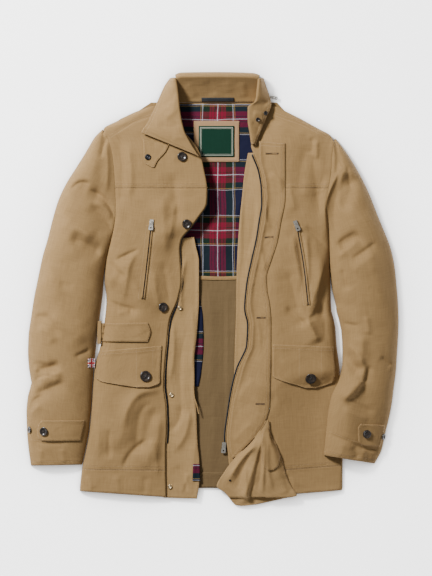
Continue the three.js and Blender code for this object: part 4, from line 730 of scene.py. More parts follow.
def front_panel(rows, folds, start, end, seed, cell=2.5):
    """The outer face of a front between two rows, from its outer edge to its zip."""
    at = measures(rows, spread(rows, start, end, "xo", "yo", cell))
    wide = np.hypot(at["xi"] - at["xo"], at["yi"] - at["yo"])
    u = np.linspace(0, 1, int(wide.max() / cell))[None, :] ** EDGE_CLOSER
    x, y = mix(at["xo"], at["xi"], u), mix(at["yo"], at["yi"], u)
    outside, inside = u * wide, (1 - u) * wide
    rise = np.sqrt(1 - (1 - np.clip(outside / at["roll"], 0, 1)) ** 2)
    joined_to = armhole(rows, at["yo"])
    rise = mix(rise, 0.66 + 0.34 * ease(outside / at["roll"] / 1.6), joined_to)
    z = mix(at["inner"], mix(at["edge"], at["crown"], rise), ease(inside / 60))
    fade = ease(outside / 24) * ease((inside + 8) / 30)
    z = z + (creased(folds, x, y) + FRONT_UNEVEN * uneven(x, y, seed)) * fade
    z = z + creased(ARMHOLE_FOLDS[rows is FRONT_LEFT], x, y) * mix(fade, 1, joined_to)
    z = z - ARMHOLE_SUNK * joined_to * np.exp(-((outside / 3) ** 2))
    pressed = SHELF_HIGH + 18 * ease((outside - at["shelf"]) / 130)
    z = mix(z, np.minimum(z, pressed), np.clip(at["shelf"] / 20, 0, 1))
    return np.stack([x, y, z], axis=2)


def front(side, rows, folds, yoke_seam, seed):
    """The three panels of a front, from hem to shoulder, each lapped and sewn to the next."""
    lap = 0.03  # as a share of the way between two rows
    panels = []
    for piece, solid, start, end, hem, seam, below in (
        ("hem_band_of", "hem_band", 0, HEM_SEAM + lap, "BT", "", "back"),
        ("body_of", "front", HEM_SEAM - lap, yoke_seam + lap, "", "B", "lining_lower"),
        ("yoke_of", "yoke", yoke_seam - lap, len(rows) - 1, "", "B", "lining_upper"),
    ):
        grid = front_panel(rows, folds, start, end, seed)
        if solid != "yoke":
            grid = sink(grid, "T", 0.9)
        panels.append(cloth(
            f"{piece}_{side}", grid, SHELL, cotton, "shell", [f"{solid}_{side}"], hem, seam,
            JACKET_FLOOR,
        ))
    return panels


right_panels = front("right", FRONT_RIGHT, FOLDS_RIGHT, YOKE_SEAM_RIGHT, 11)
left_panels = front("left", FRONT_LEFT, FOLDS_LEFT, YOKE_SEAM_LEFT, 23)


def heights_on(*panels):
    """A function that gives how high the top of these panels lies over points of the table, and near
    their sides where a point is past them."""
    points, faces = [], []
    for panel in panels:
        rows, columns = panel["grid"].shape[:2]
        faces += (quads(rows, columns) + len(points)).tolist()
        points += panel["grid"].reshape(-1, 3).tolist()
    tree = BVHTree.FromPolygons(points, faces)

    def height(x, y):
        x, y = np.broadcast_arrays(np.asarray(x, float), np.asarray(y, float))
        found = np.empty(x.shape)
        for k in np.ndindex(x.shape):
            hit = tree.ray_cast(Vector((x[k], y[k], 300)), Vector((0, 0, -1)))[0]
            found[k] = (hit or tree.find_nearest(Vector((x[k], y[k], 15)))[0]).z
        return found

    return height


on_right = heights_on(*right_panels)
on_left = heights_on(*left_panels)

# Sewing thread: each stitch is its own short bar of thread, in rows along the seams
STITCH = 2.5
STITCH_PITCH = 3.3
THREAD = (0.52, 0.15)  # half of a stitch's width, and its height over the cloth


def sewing_thread(name, colour, fibres, depth):
    """Thread of one colour, with fine fibres."""
    material, tree, shader = surface(name, {"Base Color": (*colour, 1), "Roughness": 0.6})
    dressed(tree, shader, noise(tree, place_in(tree), fibres), depth=depth)
    return material


thread_tan = sewing_thread("sewing thread", (0.40, 0.262, 0.135), 1400.0, 0.0002)


def sampled(at, run, values):
    """Points or normals at some distances along their line."""
    return np.stack([np.interp(at, run, values[:, k]) for k in range(3)], axis=-1)


def run_of(points):
    """How far each point of a line is from its start."""
    return np.concatenate([[0], np.cumsum(np.linalg.norm(np.diff(points, axis=0), axis=1))])


def line_in(panel, side, offset, start=0.0, end=1.0):
    """The line on a panel at a distance inside one of its sides: points and normals."""
    away, grid, normal = panel["side"][side], panel["grid"], panel["normal"]
    if side in "BT":
        away, grid, normal = away.T, grid.transpose(1, 0, 2), normal.transpose(1, 0, 2)
    if side in "RT":
        away, grid, normal = away[:, ::-1], grid[:, ::-1], normal[:, ::-1]
    last = len(grid) - 1
    kept = slice(int(start * last), int(end * last) + 1)
    lines = [[sampled(offset, a, v) for a, v in zip(away, values)] for values in (grid, normal)]
    return [np.array(line)[kept] for line in lines]


def line_over(height, *corners, cell=3.0):
    """A line over a surface through some places of the table: points and normals."""
    places = []
    for a, b in zip(corners, corners[1:]):
        steps = max(2, int(np.hypot(b[0] - a[0], b[1] - a[1]) / cell))
        places += [mix(np.array(a, float), np.array(b, float), k / steps) for k in range(steps)]
    x, y = np.array([*places, np.array(corners[-1], float)]).T
    slope_x = (height(x + 1.5, y) - height(x - 1.5, y)) / 3
    slope_y = (height(x, y + 1.5) - height(x, y - 1.5)) / 3
    facing = np.stack([-slope_x, -slope_y, np.ones_like(x)], axis=1)
    return np.stack([x, y, height(x, y)], axis=1), facing / np.linalg.norm(facing, axis=1, keepdims=True)


BAR_FACES = np.array([(3, 2, 1, 0), (4, 5, 6, 7), (0, 1, 5, 4), (1, 2, 6, 5), (2, 3, 7, 6), (3, 0, 4, 7)])
BAR_SUNK = -0.12
BAR_TOP = 0.62  # width of a bar's top, as a share of its foot


def bars(middles, along, up, long, wide, high):
    """Points and faces of small bars, each lying along its own direction on its own surface."""
    middles, along, up = (np.atleast_2d(np.asarray(part, float)) for part in (middles, along, up))
    along = along / (np.linalg.norm(along, axis=1, keepdims=True) + 1e-9)
    across = np.cross(up, along)
    across /= np.linalg.norm(across, axis=1, keepdims=True) + 1e-9
    corners = []
    for lift, narrow in ((BAR_SUNK, 1.0), (high, BAR_TOP)):
        for a, b in CORNERS:
            reach = a * narrow**0.5 * long / 2 * along + b * narrow * wide / 2 * across
            corners.append(middles + reach + lift * up)
    points = np.stack(corners, axis=1).reshape(-1, 3)
    return points, (np.arange(len(middles))[:, None, None] * 8 + BAR_FACES[None]).reshape(-1, 4)


def sewn(name, lines, material=thread_tan, slot="shell"):
    """The stitches of some rows, as one piece."""
    middles, along, up = [], [], []
    for points, facing in lines:
        run = run_of(points)
        at = np.arange(STITCH_PITCH / 2, run[-1], STITCH_PITCH)
        middles.append(sampled(at, run, points))
        along.append(sampled(at + 0.5, run, points) - sampled(at - 0.5, run, points))
        up.append(sampled(at, run, facing))
    middles, along, up = (np.concatenate(part) for part in (middles, along, up))
    meshed(name, *bars(middles, along, up, STITCH, *THREAD), material, slot, smooth=False)


def rows_in(panel, sides, double=True):
    """The single or double rows of stitches inside some sides of a panel."""
    offsets = DOUBLE_ROWS if double else (SINGLE_ROW,)
    return [line_in(panel, side, offset) for side in sides for offset in offsets]


SHOULDER_SEAMS = {  # just in front of the shoulder's fold
    "right": ((-114, 350), (-158, 334), (-204, 305)),
    "left": ((126, 350), (184, 329), (234, 303)),
}
for side, (band, body, yoke) in (("right", right_panels), ("left", left_panels)):
    on_yoke = heights_on(yoke)
    shoulder = [line_over(on_yoke, *((x, y - down) for x, y in SHOULDER_SEAMS[side])) for down in (0, 6)]
    sewn(f"shoulder_{side}_stitching", shoulder)
    sewn(f"front_{side}_stitching", rows_in(yoke, "B") + rows_in(body, "B") + rows_in(band, "BT", False))

# Sleeves
# Each sleeve is one tube of cotton, set into the armhole and laid flat at the jacket's side. The left
# one laps over the front below the elbow. Creases gather at the armpit and elbow.
SLEEVE_RIGHT = table(
    "xo yo yi gap crown",
    (-219, 317, 309, -0.3, 9), (-234, 302, 300, -0.3, 19), (-252, 272, 278, -0.3, 27),
    (-272, 240, 250, -0.3, 32), (-292, 208, 222, -0.3, 35), (-307, 176, 194, -0.3, 37),
    (-318, 140, 164, -0.3, 38), (-328, 100, 130, -0.3, 38), (-339, 62, 94, -0.3, 38),
    (-347, 24, 56, -0.3, 38), (-356, -20, 14, 2, 38), (-362, -60, -26, 9, 37), (-367, -96, -68, 11, 36),
    (-368, -128, -104, 11, 36), (-366, -160, -136, 5, 35), (-361, -190, -172, 0.8, 34),
    (-368, -216, -204, 0.6, 33), (-371, -248, -240, 0.6, 31), (-370, -284, -278, 0.8, 28),
    (-367, -320, -318, 1, 24), (-362, -355, -353, 1, 19),
)
SLEEVE_LEFT = table(
    "xo yo yi gap crown",
    (247, 299, 293, -0.3, 9), (262, 280, 282, -0.3, 19), (282, 250, 262, -0.3, 27),
    (300, 218, 236, -0.3, 32), (316, 184, 208, -0.3, 35), (330, 148, 176, -0.3, 37),
    (344, 114, 142, -0.3, 38), (357, 80, 108, -0.3, 38), (365, 44, 72, -0.3, 38), (369, 6, 36, -0.3, 38),
    (372, -32, -2, 2.8, 38), (373, -68, -34, 10, 37), (372, -100, -66, 10, 36), (370, -132, -96, 12, 36),
    (368, -164, -128, 10, 35), (364, -196, -160, 4.6, 35), (360, -228, -184, -3, 35),
    (354, -260, -216, -19, 34), (347, -288, -252, -28, 31), (339, -324, -288, -33, 27),
    (325, -351, -334, -38, 22),
)
SLEEVE_EDGE = 3  # height of a sleeve's folded edge
SLEEVE_ACROSS = 64
DOME_FLAT, DOME_STEEP = 2.4, 0.62  # form of a sleeve's section: its flat top and its steep flanks
SLEEVE_LIFT = 10.4  # how far the left sleeve rises to lie on the body
LIFT_FROM = -126  # the lift starts at this y ...
LIFT_FULL = -166  # ... and is whole below this one
LIFT_REACH = 52  # it starts this far outside the body's edge
LIFT_RAMP = 47  # and takes this width
CREASES_SLEEVE_RIGHT = [
    (14, -5, (-276, 208), (-196, 176)), (13, -4.2, (-282, 110), (-216, 66)),
    (14, 4, (-300, 140), (-232, 96)), (15, 4, (-330, -50), (-250, -110)),
    (9, -6, (-358, -170), (-300, -150)), (10, 5, (-352, -186), (-296, -168)),
    (10, -5, (-356, -214), (-290, -186)), (4.5, -3.2, (-284, 194), (-264, 213), (-240, 207)),
    (4, -1.2, (-286, 100), (-254, 92), (-230, 76), (-214, 54)),
    (8, 2.6, (-290, 124), (-252, 108), (-220, 84)), (4, -1.3, (-304, 10), (-276, 4)),
    (14, 2.4, (-300, 170), (-288, 110), (-270, 50)), (12, 2.0, (-330, 60), (-300, -30)),
    (6, -3.2, (-362, -60), (-334, -54), (-316, -72), (-302, -100)),
    (8, 2.6, (-352, -78), (-330, -84), (-314, -112)), (4, -1.8, (-368, -157), (-350, -149), (-324, -155)),
    (5, 3.4, (-360, -160), (-340, -166), (-320, -170)),
    (4.5, -2.6, (-364, -188), (-330, -172), (-306, -181)),
    (5, -2.6, (-374, -244), (-356, -224), (-336, -213)), (6, 2.6, (-366, -254), (-342, -232)),
    (5, -2.8, (-276, -139), (-240, -122)), (2.4, -1.5, (-362, -306), (-324, -310), (-286, -310)),
    (6, 1.5, (-300, -318), (-294, -352)), (6, 1.4, (-340, -318), (-344, -354)),
]
CREASES_SLEEVE_LEFT = [
    (11, 6, (270, 244), (236, 186)), (15, -6, (284, 230), (262, 150)), (14, -5, (250, 80), (300, 110)),
    (15, 4, (276, 30), (330, 70)), (12, 4, (300, -90), (296, -160)), (12, -5, (262, -130), (300, -172)),
    (12, 5, (300, -180), (256, -226)), (6, -2.8, (268, 246), (276, 196)),
    (5, -2.0, (238, 78), (262, 96), (290, 112)), (6, 3.2, (246, 58), (268, 74), (294, 98)),
    (5, -2.8, (276, 56), (300, 70), (330, 94)), (5, -2.8, (260, 40), (264, 16), (272, -6)),
    (12, 2.0, (310, 60), (334, 12), (340, -40)),
    (7, 4.0, (258, -106), (292, -130), (305, -168), (296, -194), (252, -234)),
    (7, -1.4, (258, -146), (296, -166)), (5, -2.8, (303, -192), (316, -152)),
    (5, -2.8, (250, -69), (294, -76)), (6, 2.2, (308, -54), (313, -96)),
    (5, -2.6, (336, -136), (360, -158)), (7, -2.0, (262, -216), (300, -240), (330, -248)),
    (7, 1.6, (258, -240), (290, -256), (316, -262)), (3, -2.0, (232, -289), (256, -300), (282, -306)),
    (3.4, -3.0, (268, -304), (300, -320), (342, -325)), (6, -2.4, (282, -314), (292, -342)),
    (6, 2.4, (304, -320), (300, -350)), (7, 1.6, (262, -308), (256, -338)),
]


def body_edge(rows, y):
    """The x and the height of a front's outer edge at some places along the jacket."""
    t = row_at(rows, "yo", y)
    return column(rows, "xo", t), column(rows, "edge", t)


def left_lift(x, y):
    """How far the left sleeve is lifted off the table, to lie on the body."""
    inward = (body_edge(FRONT_LEFT, y)[0] + LIFT_REACH - x) / LIFT_RAMP
    return SLEEVE_LIFT * ease(inward) * ease((LIFT_FROM - y) / (LIFT_FROM - LIFT_FULL))


def sleeve_top(rows, body, creases, seed, cell=2.5):
    """The outer face of a sleeve's top, from its outer fold over the arm to its inner one."""
    at = measures(rows, spread(rows, 0, len(rows) - 1, "xo", "yo", cell))
    edge_x, edge_z = body_edge(body, at["yi"])
    joined_to = armhole(body, at["yi"])
    crown = column(body, "crown", row_at(body, "yo", at["yi"]))
    edge_z = mix(edge_z, crown, 0.66 * joined_to) - ARMHOLE_SUNK * joined_to
    xi = edge_x + np.sign(rows[0]["xo"]) * at["gap"]
    u = (1 - np.cos(np.pi * np.linspace(0, 1, SLEEVE_ACROSS)))[None, :] / 2
    x, y = mix(at["xo"], xi, u), mix(at["yo"], at["yi"], u)
    dome = (1 - np.abs(2 * u - 1) ** DOME_FLAT) ** DOME_STEEP
    dome = mix(dome, np.minimum(dome, ease(1.9 * (1 - u))), 0.85 * joined_to)
    z = mix(mix(SLEEVE_EDGE, edge_z, ease(u)), at["crown"], dome)
    fade = ease(2.4 * dome - 0.8)
    relief = (creased(creases, x, y) + SLEEVE_UNEVEN * uneven(x, y, seed)) * fade
    relief = relief + creased(ARMHOLE_FOLDS[body is FRONT_LEFT], x, y) * mix(fade, 1, joined_to * ease(3 * u))
    lift = left_lift(x, y) if body is FRONT_LEFT else 0.0
    return np.stack([x, y, z + relief + lift], axis=2)


right_sleeve = cloth(
    "sleeve_right", sleeve_top(SLEEVE_RIGHT, FRONT_RIGHT, CREASES_SLEEVE_RIGHT, 31), SHELL, cotton, "shell",
    ["sleeve_right_top"], seam="T", floor=JACKET_FLOOR,
)
left_sleeve = cloth(
    "sleeve_left", sleeve_top(SLEEVE_LEFT, FRONT_LEFT, CREASES_SLEEVE_LEFT, 43), SHELL, cotton, "shell",
    ["sleeve_left_top", "sleeve_left_top_inner"], seam="T",
    floor=JACKET_FLOOR,
)
on_right_sleeve, on_left_sleeve = heights_on(right_sleeve), heights_on(left_sleeve)
right_cuff_row = line_over(on_right_sleeve, (-362, -303), (-326, -307), (-286, -307))
left_cuff_row = line_over(on_left_sleeve, (234, -286), (272, -302), (298, -309), (334, -317))
sewn("sleeve_right_stitching", [*rows_in(right_sleeve, "T"), right_cuff_row])
sewn("sleeve_left_stitching", [*rows_in(left_sleeve, "T"), left_cuff_row])

# Facings
# A strip of the shell cotton inside each front edge, sewn along the zip and free on its other side.
# The right one is broad and rolls a little; tartan lining shows past it from waist to hip.
FACING_RIGHT = table(
    "xa ya xb yb",
    (-97, -419, -30, -421), (-97, -384, -25, -384), (-97, -348, -25, -348), (-95, -304, -29, -304),
    (-94, -254, -31, -254), (-100, -194, -35, -194), (-98, -144, -35, -144), (-94, -104, -31, -104),
    (-89, -64, -28, -64), (-73, -24, -26, -24), (-65, 16, -26, 16), (-67, 52, -26, 52), (-67, 80, -32, 82),
    (-62, 99, -36, 102),
)
FACING_LEFT = table(
    "xa ya xb yb",
    (44, -172, 55, -172), (45, -144, 65, -144), (46, -107, 78, -107), (48, -52, 73, -52), (49, 22, 78, 22),
    (51, 76, 90, 76), (55, 135, 101, 135), (60, 183, 106, 183), (65, 231, 99, 231), (72, 270, 84, 270),
)
LINING_EDGE_RIGHT = table(
    "xa ya xb yb",
    (-52, -196, -27, -197), (-48, -164, -21, -164), (-44, -116, -17, -116), (-44, -62, -18, -62),
    (-44, -10, -25, -14),
)
FACING_DROP = 4.4  # how far a facing lies below the front's edge
FACING_LOW = (10, 7)  # height of the free side of the right and of the left one
CREASES_FACING = [
    (5, -2.6, (-66, 40), (-86, -23), (-86, -90)), (6, 2.4, (-50, 70), (-64, 6), (-62, -60)),
    (6, 2, (-78, -60), (-75, -125), (-84, -190)), (7, -1.8, (-56, -90), (-66, -175), (-60, -260)),
    (6, 1.8, (-40, -30), (-36, -105), (-44, -180)), (8, 2.8, (-44, -240), (-50, -289), (-78, -330)),
    (6, -2.4, (-60, -230), (-63, -264), (-84, -290)), (7, 1.8, (-34, -300), (-40, -400)),
    (5, -1.8, (-70, -350), (-55, -378), (-52, -410)), (5, 1.6, (-46, -366), (-62, -412)),
    (5, 1.6, (60, 180), (56, 20)), (6, -1.8, (84, 190), (85, 124), (70, 60)),
]


def strip(rows, cell, height, across=None):
    """The grid of a strip between its two sides, with a height for each place and its share across."""
    t = spread(rows, 0, len(rows) - 1, "xa", "ya", cell)
    at = measures(rows, t)
    wide = np.hypot(at["xb"] - at["xa"], at["yb"] - at["ya"]).max()
    u = np.linspace(0, 1, across or max(5, int(wide / cell)))[None, :]
    x, y = mix(at["xa"], at["xb"], u), mix(at["ya"], at["yb"], u)
    return np.stack([x, y, height(x, y, u, t)], axis=2)


def zip_edge_height(rows, y):
    return column(rows, "inner", row_at(rows, "yi", y)) - FACING_DROP


def facing_right_height(x, y, u, t):
    relief = (creased(CREASES_FACING, x, y) + 0.7 * uneven(x, y, 51)) * ease(5 * u) * ease(4 - 3.4 * u)
    rolled = 1.6 * np.exp(-(((1 - u) / 0.10) ** 2)) * (0.6 + 0.4 * np.sin(y / 41))
    return mix(zip_edge_height(FRONT_RIGHT, y), FACING_LOW[0], ease(u)) + relief + rolled


def facing_left_height(x, y, u, t):
    relief = (creased(CREASES_FACING, x, y) + 0.4 * uneven(x, y, 57)) * ease(4 * (1 - u))
    return mix(FACING_LOW[1], zip_edge_height(FRONT_LEFT, y), ease(u)) + relief


def edge_strip_height(x, y, u, t):
    return LINING_TOP + 2.2 + 0.7 * uneven(x, y, 61) + 1.4 * ease(1 - 2 * u)


facing_cotton = woven("facing cotton", (0.325, 0.204, 0.085), (0.247, 0.150, 0.059))
right_facing = cloth(
    "right_facing", strip(FACING_RIGHT, 2.2, facing_right_height), LINING, facing_cotton, "facing",
    ["facing_right"], hem="RB", seam="L", floor=LINING_TOP,
)
left_facing = cloth(
    "left_facing", strip(FACING_LEFT, 2.2, facing_left_height), LINING, facing_cotton, "facing",
    ["facing_left"], hem="L", floor=LINING_TOP,
)
cloth(
    "tartan_edge", strip(LINING_EDGE_RIGHT, 2.4, edge_strip_height), LINING,
    tartan_cloth("side tartan", (26, -118)), "tartan", ["lining_edge_right"],
    floor=LINING_TOP,
)
sewn("facing_stitching", rows_in(right_facing, "R", False) + rows_in(left_facing, "L", False), slot="facing")

# Loop and tartan tab at the right facing's hem
# Below the tartan a narrow folded loop of cotton hangs along the facing's edge, and a square of the
# tartan shows at the hem, where the lining is turned out.
LOOP_OUTER = table(
    "xa ya xb yb",
    (-38, -196, -36, -196), (-37.4, -215, -34.4, -215), (-31.5, -236, -28.5, -235),
    (-27.6, -252, -24.8, -252),
)
TARTAN_TAB = table(
    "xa ya xb yb",
    (-39, -385.5, -23.4, -385.5), (-38, -351.5, -24.6, -351.5),
)


def over(height, lap, pad=0.0):
    """The height of what is sewn on top of another piece: lap above it, and padded in its middle."""
    return lambda x, y, u, t: height(x, y) + lap + pad * (1 - np.abs(2 * u - 1) ** 4)


on_right_facing = heights_on(right_facing)
cloth(
    "side_loop", strip(LOOP_OUTER, 1.0, over(on_right_facing, 2.0, 0.6), 6), 1.0, facing_cotton, "facing",
    hem="LR",
)
cloth(
    "hem_tartan_tab", strip(TARTAN_TAB, 1.6, over(on_right_facing, 1.6, 0.3)), 0.9,
    tartan_cloth("hem tartan", (14, -354)), "tartan",
)

# Storm flap
# A double strip of cotton that closes over the zip. It is sewn on along the left front, double
# stitched, and hangs free at its zip side; its rounded lower end lies on the turned-out corner.
STORM_FLAP = table(
    "xa ya xb yb",
    (40, -341, 48, -337), (35, -320, 68, -317), (34, -294, 91, -292), (37, -264, 110, -260),
    (41, -234, 116, -234), (51, -194, 117, -194), (62, -154, 118, -154), (78, -114, 118, -114),
    (80, -74, 118, -68), (74, -34, 115, -30), (77, -4, 110, -4), (83, 26, 109, 22), (90, 60, 119, 56),
    (97, 96, 131, 94), (104, 136, 138, 132), (108, 176, 146, 176), (105, 216, 147, 216),
    (95, 256, 147, 256), (94, 293, 147, 289),
)
CREASES_FLAP = [
    (12, -3.2, (96, 214), (126, 188), (136, 150)), (8, 2.4, (112, 230), (135, 215), (146, 190)),
    (7, 2.6, (104, 190), (103, 149), (118, 110)), (8, -2.4, (120, 96), (132, 76)),
    (6, 1.8, (96, 90), (106, 30)), (7, -1.6, (84, 10), (102, -12), (110, -40)),
    (7, 1.8, (84, -50), (98, -99), (96, -150)), (8, -1.6, (104, -90), (93, -145), (98, -200)),
    (8, 1.8, (56, -230), (65, -201), (88, -180)), (7, -1.6, (46, -270), (63, -244), (90, -230)),
    (7, 1.5, (44, -310), (60, -285), (84, -268)),
]
FLAP_LAP = 0.8
under_flap = over(on_left, FLAP_LAP + SHELL, 0.8)


def storm_flap_height(x, y, u, t):
    curl = 3.4 * np.exp(-((u / 0.16) ** 2)) * ease((y + 260) / 120)
    return under_flap(x, y, u, t) + curl + np.maximum(-0.4, creased(CREASES_FLAP, x, y) * ease(3 - 2.9 * u))


storm_flap = cloth(
    "storm_flap_cloth", sink(strip(STORM_FLAP, 2.2, storm_flap_height), "R", 0.8), SHELL, cotton, "shell",
    ["storm_flap"], hem="LT", seam="R", floor=JACKET_FLOOR,
)
flap_rows = rows_in(storm_flap, "R") + rows_in(storm_flap, "L", False) + rows_in(storm_flap, "T")
sewn("storm_flap_stitching", flap_rows)

# Turned-out corner
# The lower corner of the left front lies turned out, so that its facing shows, in pleats that run
# from the storm flap's end to the hem. A small eyelet is punched through it.
TURNED_CORNER = table(
    "xa ya xb yb rise",
    (58, -436, 88, -433, 3), (47, -434, 142, -421, 3), (26, -410, 170, -414, 4), (9, -395, 159, -396, 4),
    (25, -366, 147, -368, 6), (46, -338, 139, -338, 6), (71, -315, 129, -318, 5), (93, -289, 118, -296, 4),
    (108, -264, 114, -264, 3),
)
CORNER_PLEATS = [
    (8, 5, (104, -285), (58, -440)), (6, -4, (100, -300), (78, -440)), (11, 4, (112, -280), (150, -400)),
    (12, 5, (92, -300), (24, -390)), (5, 3.4, (100, -292), (94, -364), (64, -430)),
    (4, -3, (98, -300), (97, -364), (80, -425)), (4, 2.6, (106, -296), (100, -420)),
    (5, 2.2, (112, -300), (109, -356), (122, -410)), (6, 2.6, (92, -310), (58, -338), (36, -376)),
    (5, -2.2, (84, -318), (59, -362), (46, -410)), (4, 2, (66, -352), (70, -432)),
    (5, 1.6, (56, -404), (84, -430)), (6, 1.6, (140, -380), (150, -412)),
]
under_corner = heights_on(*left_panels, storm_flap)


def corner_height(x, y, u, t):
    rise = column(TURNED_CORNER, "rise", t) * np.sqrt(np.maximum(0, 1 - (2 * u - 1) ** 2))
    pleats = np.maximum(-0.5, creased(CORNER_PLEATS, x, y)) * ease(6 * u) * ease(6 * (1 - u))
    below = np.where(y > -418, under_corner(x, y), 3) * ease((y + 432) / 16) + 3 * ease(-(y + 416) / 16)
    return below + 0.8 + SHELL + rise + pleats + 0.4 * uneven(x, y, 71)


turned_corner = cloth(
    "corner_turned_out", strip(TURNED_CORNER, 2.0, corner_height), SHELL, facing_cotton, "facing",
    ["turned_corner"], hem="LR", seam="B", floor=0.2,
)
FLAP_END = table(
    "xa ya xb yb",
    (110, -364, 124, -363), (103, -354, 134, -352), (99, -336, 137, -336), (98, -312, 130, -314),
    (99, -292, 119, -294), (106, -278, 112, -278),
)
on_corner = heights_on(turned_corner, storm_flap, *left_panels)
flap_end = cloth(
    "storm_flap_tongue", strip(FLAP_END, 1.8, over(on_corner, 2.0, 1.2)), SHELL, cotton, "shell",
    ["storm_flap_end"], hem="LRB",
)
sewn("corner_stitching", rows_in(turned_corner, "LR", False) + rows_in(turned_corner, "B"), slot="facing")
sewn("tongue_stitching", rows_in(flap_end, "LR", False))

# Collar
# The collar is two layers of cotton with a stiffening between them. Its ends stand up from the neck
# and fall outward over the shoulders; its back stands, with its inner face to the front.
COLLAR_RIGHT = table(
    "bx by bz cx cy cz foot",
    (-71, 419, 36, -84, 420, 7, 4), (-68, 400, 38, -95, 405, 5, 4), (-65.6, 380, 38, -104, 386, 6, 4),
    (-64, 360, 38, -112, 367, 13, 8), (-61, 340, 39, -121, 347, 19, 18), (-55, 314, 40, -131, 327, 26, 26),
    (-42, 288, 40, -138, 317, 31, 30), (-25, 262, 38, -141, 310, 33, 32),
)
COLLAR_LEFT = table(
    "bx by bz cx cy cz foot",
    (91, 417, 36, 103, 420, 7, 4), (89, 396, 37, 110, 400, 5, 4), (86, 374, 36, 117, 379, 9, 4),
    (71, 359, 35, 119, 366, 16, 5), (71, 336, 33, 110, 342, 21, 5), (75, 308, 30, 98, 314, 22, 10),
    (78, 286, 27, 88, 287, 22, 18),
)
COLLAR_BACK = table(
    "ax ay bx by cx cy high",
    (-64, 371, -69.6, 417, -71, 426, 34), (-56, 371, -58, 420, -59, 430, 37),
    (12, 371, 12, 421, 12, 431, 39), (76, 371, 79, 419, 80, 429, 37), (83.7, 371, 90, 416, 93, 425, 34),
)
COLLAR = 2.2  # wall of the collar
COLLAR_BEND = 4  # radius of its fold
NECK_FOOT = 4.4  # height of the neck seam
CREASES_COLLAR = [
    (8, -2, (-70, 396), (-83, 372), (-108, 360)), (7, 1.6, (-66, 360), (-96, 336)),
    (8, -1.4, (-60, 330), (-84, 320), (-110, 326)), (6, 1.2, (-50, 300), (-80, 300)),
    (6, -1.8, (86, 380), (112, 366)), (6, 1.8, (80, 350), (97, 345), (106, 330)),
    (6, -1.8, (76, 330), (91, 322), (98, 306)),
]
CREASES_STAND = [
    (6, 1.4, (-50, 410), (-30, 382)), (7, -1.2, (-10, 414), (4, 384)), (6, 1.4, (60, 412), (66, 380)),
    (7, 1, (30, 412), (36, 390)),
]


def collar_end(rows, seed, cell=2.0):
    """The face of a collar's end: up from its foot, over the fold and down to the free edge."""
    t = spread(rows, 0, len(rows) - 1, "cx", "cy", cell)
    at = measures(rows, t)
    reach = np.hypot(at["cx"] - at["bx"], at["cy"] - at["by"])
    stand = np.linspace(0, 1, 9)[None, :-1]
    turn = np.linspace(0, np.pi / 2, 7)[None, :]
    fall = np.linspace(0, 1, 30)[None, 1:]
    bent_out = COLLAR_BEND * (1 - np.cos(turn))
    out = np.concatenate([0 * stand + 0 * t, bent_out + 0 * t, mix(COLLAR_BEND, reach, fall)], axis=1)
    standing = mix(at["foot"], at["bz"] - COLLAR_BEND, stand)
    bent_up = at["bz"] - COLLAR_BEND * (1 - np.sin(turn))
    height = np.concatenate([standing, bent_up, mix(at["bz"], at["cz"], fall**1.8)], axis=1)
    x, y = mix(at["bx"], at["cx"], out / reach), mix(at["by"], at["cy"], out / reach)
    fade = ease(out / 14) * ease((reach - out) / 10)
    relief = (creased(CREASES_COLLAR, x, y) + 0.5 * uneven(x, y, seed)) * fade
    return np.stack([x, y, height + relief], axis=2)


right_collar, left_collar = (
    cloth(
        f"collar_end_{side}", collar_end(rows, seed), COLLAR, cotton, "shell", [f"collar_{side}"], "R", seam,
        0.2,
    )
    for side, rows, seed, seam in (("right", COLLAR_RIGHT, 81, "TB"), ("left", COLLAR_LEFT, 83, "T"))
)


def collar_stand(cell=2.2):
    """The collar's back: from the neck seam up its inner face, over the top edge, and down behind."""
    t = spread(COLLAR_BACK, 0, len(COLLAR_BACK) - 1, "ax", "ay", cell)
    at = measures(COLLAR_BACK, t)
    f = np.linspace(0, 1, 24)[None, :]
    turn = np.linspace(0, np.pi / 2, 9)[None, 1:]
    down = np.linspace(0, 1, 7)[None, 1:]
    share = np.concatenate([np.sin(turn), 1 - 0.05 * down], axis=1) + 0 * t
    x, y = (
        np.concatenate([mix(at["a" + k], at["b" + k], f), mix(at["b" + k], at["c" + k], share)], axis=1)
        for k in "xy"
    )
    x = 10 + 1.035 * (x - 10)
    face = mix(NECK_FOOT, at["high"], f) - 3 * np.sin(np.pi * f)
    rounded = mix(0.62 * at["high"], at["high"], np.cos(turn))
    z = np.concatenate([face, rounded, 0.62 * at["high"] * (1 - down) + 0 * t], axis=1)
    soft = ease((y - 373) / 8) * ease((419 - y) / 6)
    return np.stack([x, y, z + (creased(CREASES_STAND, x, y) + 0.5 * uneven(x, y, 87)) * soft], axis=2)


back_collar = cloth(
    "collar_stand", collar_stand(), COLLAR, cotton, "shell", ["collar_back"], hem="L",
)
on_back_collar = heights_on(back_collar)
collar_rows = []
for end in (right_collar, left_collar):
    collar_rows += rows_in(end, "R") + rows_in(end, "T", False)
stand_rows = [line_in(back_collar, "L", offset, 0.03, 0.97) for offset in (SINGLE_ROW, 62.0)]
sewn("collar_stitching", collar_rows + stand_rows)

# Pocket flaps
# Two layers of cotton, sewn on along the top in a double row and shaped to a shallow point, where
# the flap buttons down. The button's tab shows as a stitched box on the right one.
FLAP_RIGHT = table(
    "xa ya xb yb",
    (-150, -198, -126, -198), (-190, -192, -106, -191), (-225, -185, -103, -186), (-233, -176, -103, -176),
    (-228, -150, -102, -150), (-219, -125, -100, -115),
)
FLAP_LEFT = table(
    "xa ya xb yb",
    (188, -200, 206, -200), (166, -193, 224, -195), (136, -184, 243, -187), (121, -175, 247, -168),
    (121, -144, 245, -144), (121, -112, 243, -117),
)


